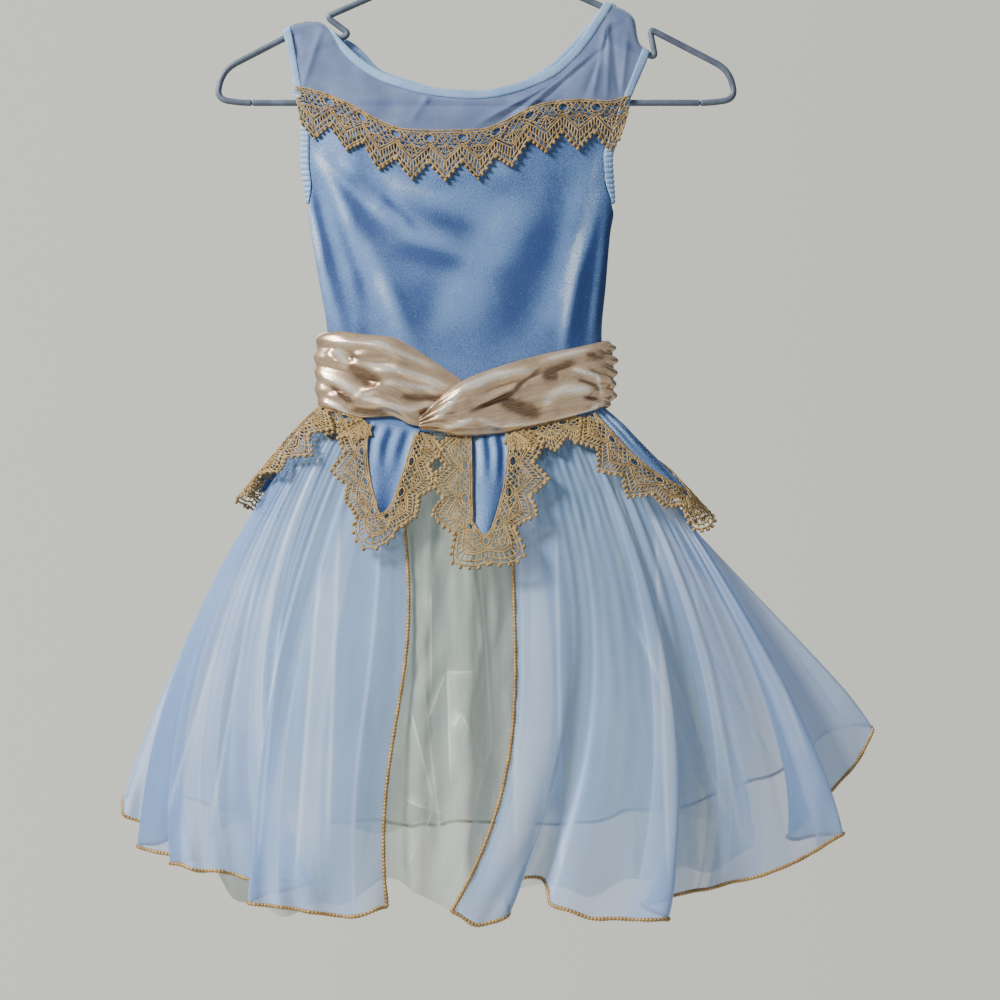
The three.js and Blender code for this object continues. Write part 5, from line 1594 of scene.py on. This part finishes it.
def dress(piece, material, slot, *nodes):
    """Finish, ride and the nodes that the piece stands for. The slot argument is not used."""
    piece.data.materials.append(material)
    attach(piece, "root")
    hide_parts(*nodes)
    return piece


def cloth_size(points):
    """Largest width and length of a grid of cloth and its area, in metres."""
    width = np.linalg.norm(np.diff(points, axis=1), axis=2).sum(axis=1).max() * MM
    length = np.linalg.norm(np.diff(points, axis=0), axis=2).sum(axis=0).max() * MM
    cross = np.cross(points[1:, :-1] - points[:-1, :-1], points[:-1, 1:] - points[:-1, :-1])
    return (width, length), float(np.linalg.norm(cross, axis=2).sum() * MM * MM)


def state_sheet(points):
    flat, area = cloth_size(points)
    area = min(max(area, 0.31 * flat[0] * flat[1]), flat[0] * flat[1])


VELVET_FINISH, SATIN_FINISH = velvet_material(), satin_material()
MESH_FINISH, BINDING_FINISH = yoke_material(), binding_material()
LACE_FINISH, GOLD_FINISH, WIRE_FINISH = lace_material(), overlock_material(), wire_material()
BLUE_NET = tulle_material(
    "pale blue tulle", rgba(148, 188, 246), rgba(214, 231, 255), rgba(174, 208, 254), 0.48, 0.25,
)
IVORY_NET = tulle_material(
    "ivory tulle", rgba(182, 198, 180), rgba(248, 252, 238), rgba(218, 228, 208), 0.48, 0.3, IVORY_CREASES,
)


def make_hanger():
    for node, piece in hanger().items():
        dress(piece, WIRE_FINISH, "coated_wire", node)


def make_bodice():
    for side, name in ((FRONT, "front"), (BACK, "back")):
        for hand, word in ((-1, "left"), (1, "right")):
            band = armhole_gather(side, hand, f"ruched_{name}_{word}")
            dress(band, BINDING_FINISH, "binding", f"armhole_gather_{name}_{word}")
        points = bodice(side)
        attributes = {"painted_light_and_nap": painted_light_and_nap_of(side, points)}
        panel = cloth_piece("velvet_" + name, points, VELVET - 0.2, attributes, side == FRONT)
        dress(panel, VELVET_FINISH, "velvet", "bodice_" + name)
        if side == FRONT:
            dress(neck_lace(), LACE_FINISH, "lace", "neck_lace")
        state_sheet(points)


def make_yoke():
    for side, name in ((FRONT, "front"), (BACK, "back")):
        band = neck_binding(side, "neck_band_" + name)
        extras = [dress(band, BINDING_FINISH, "binding", "neck_binding_" + name)]
        for hand, word in ((-1, "left"), (1, "right")):
            band = armhole_binding(side, hand, f"armhole_band_{name}_{word}")
            extras.append(dress(band, BINDING_FINISH, "binding", f"armhole_binding_{name}_{word}"))
        points = yoke(side)
        panel = cloth_piece("yoke_mesh_" + name, points, flip=side == FRONT)
        dress(panel, MESH_FINISH, "mesh", "yoke_" + name)
        state_sheet(points)


def make_sash():
    bands = (
        ("sash_left", SASH_LEFT, FRONT, 5, FOLDS_LEFT),
        ("sash_right", SASH_RIGHT, FRONT, 6, FOLDS_RIGHT),
        ("sash_back", SASH_BACK, BACK, 4, FOLDS_BACK),
    )
    for name, cols, side, puff, folds in bands:
        points = sash(cols, side, puff, folds, name)
        attributes = {"sheen": sheen_of(points, side)}
        band = cloth_piece("satin_" + name, points, SATIN - 0.3, attributes, side == FRONT)
        dress(band, SATIN_FINISH, "satin", name)
        state_sheet(points)


def make_skirts():
    panels = (
        ("left", HEM_LEFT, OPEN_LEFT, -BACK_SEAM, 3, 700),
        ("right", HEM_RIGHT, OPEN_RIGHT, BACK_SEAM, 4, 800),
    )
    for name, cols, opening, end, seed, count in panels:
        points = overskirt(cols, opening, end, seed, count)
        cord = rolled_edge("gold_edge_" + name, points)
        dress(cord, GOLD_FINISH, "gold_thread", "rolled_edge_" + name)
        layers = net_layers(points, seed + 30, 20) * far_fade(points) + crease_layers(points, BLUE_CREASES)
        panel = cloth_piece("tulle_" + name, points, attributes={"layers": layers})
        dress(panel, BLUE_NET, "blue_tulle", "overskirt_" + name)
        state_sheet(points)
    points = underskirt()
    layers = net_layers(points, 77, 14, 0.09) * far_fade(points)
    panel = cloth_piece("ivory_underskirt", points, attributes={"layers": layers})
    dress(panel, IVORY_NET, "ivory_tulle", "underskirt")
    state_sheet(points)


def make_peplum():
    for i, (name, top, foot, drop, bow, lift, width) in enumerate(PETALS):
        edge = petal_edge(top, foot, drop, bow)
        trim = path_lace("petal_threads_" + name, edge, width + 2, VELVET / 2 + GAP + 0.9 + lift, 0.3)
        dress(trim, LACE_FINISH, "lace", "petal_lace_" + name)
        points = petal(top, foot, drop, bow, 40 + i)
        leaf = cloth_piece("velvet_petal_" + name, points, VELVET - 0.2, {"painted_light_and_nap": petal_painted_light(points)})
        dress(leaf, VELVET_FINISH, "velvet", "petal_" + name)
        state_sheet(points)
    for name, start, stop, width in ARCH_LACES:
        a = np.linspace(start - ARCH_MORE, stop + ARCH_MORE, 16)
        path = np.stack([a, -0.002 + 0.03 * np.abs(np.linspace(-1, 1, 16)) ** 4], -1)
        trim = path_lace("arch_threads_" + name, path, width + 7, GAP + 1.6)
        dress(trim, LACE_FINISH, "lace", "arch_lace_" + name)


def make_stage():
    """A pale floor, a plain pale dome that is seen but lights nothing, a weak world, a large soft key from
    the upper left and a fill from the right."""
    square = np.array([(-1, -1), (1, -1), (1, 1), (-1, 1)]) * FLOOR_REACH
    corners = xyz(square[:, 0], square[:, 1], FLOOR_Z / MM)
    floor = mesh_of("floor", corners, np.array([[0, 1, 2, 3]]))
    floor.data.materials.append(floor_material())
    floor.visible_diffuse = False
    around, up = np.meshgrid(np.linspace(0, TURN, 49), np.linspace(-np.pi / 2, np.pi / 2, 25))
    shell = DOME_RADIUS * xyz(np.cos(up) * np.cos(around), np.cos(up) * np.sin(around), np.sin(up))
    dome = mesh_of("dome", shell.reshape(-1, 3), quads_of(*shell.shape[:2]))
    dome.data.materials.append(dome_material())
    for ray in ("diffuse", "glossy", "shadow"):
        setattr(dome, "visible_" + ray, False)
    world = bpy.data.worlds.new("pale room")
    world.use_nodes = True
    sockets = world.node_tree.nodes["Background"].inputs
    sockets["Color"].default_value = rgba(196, 204, 214)
    sockets["Strength"].default_value = WORLD_STRENGTH
    scene.world = world
    for light in LIGHTS:
        add_light(*light[:2], LIT_POINT, *light[2:])


make_hanger()
make_bodice()
make_yoke()
make_sash()
make_skirts()
make_peplum()
make_stage()
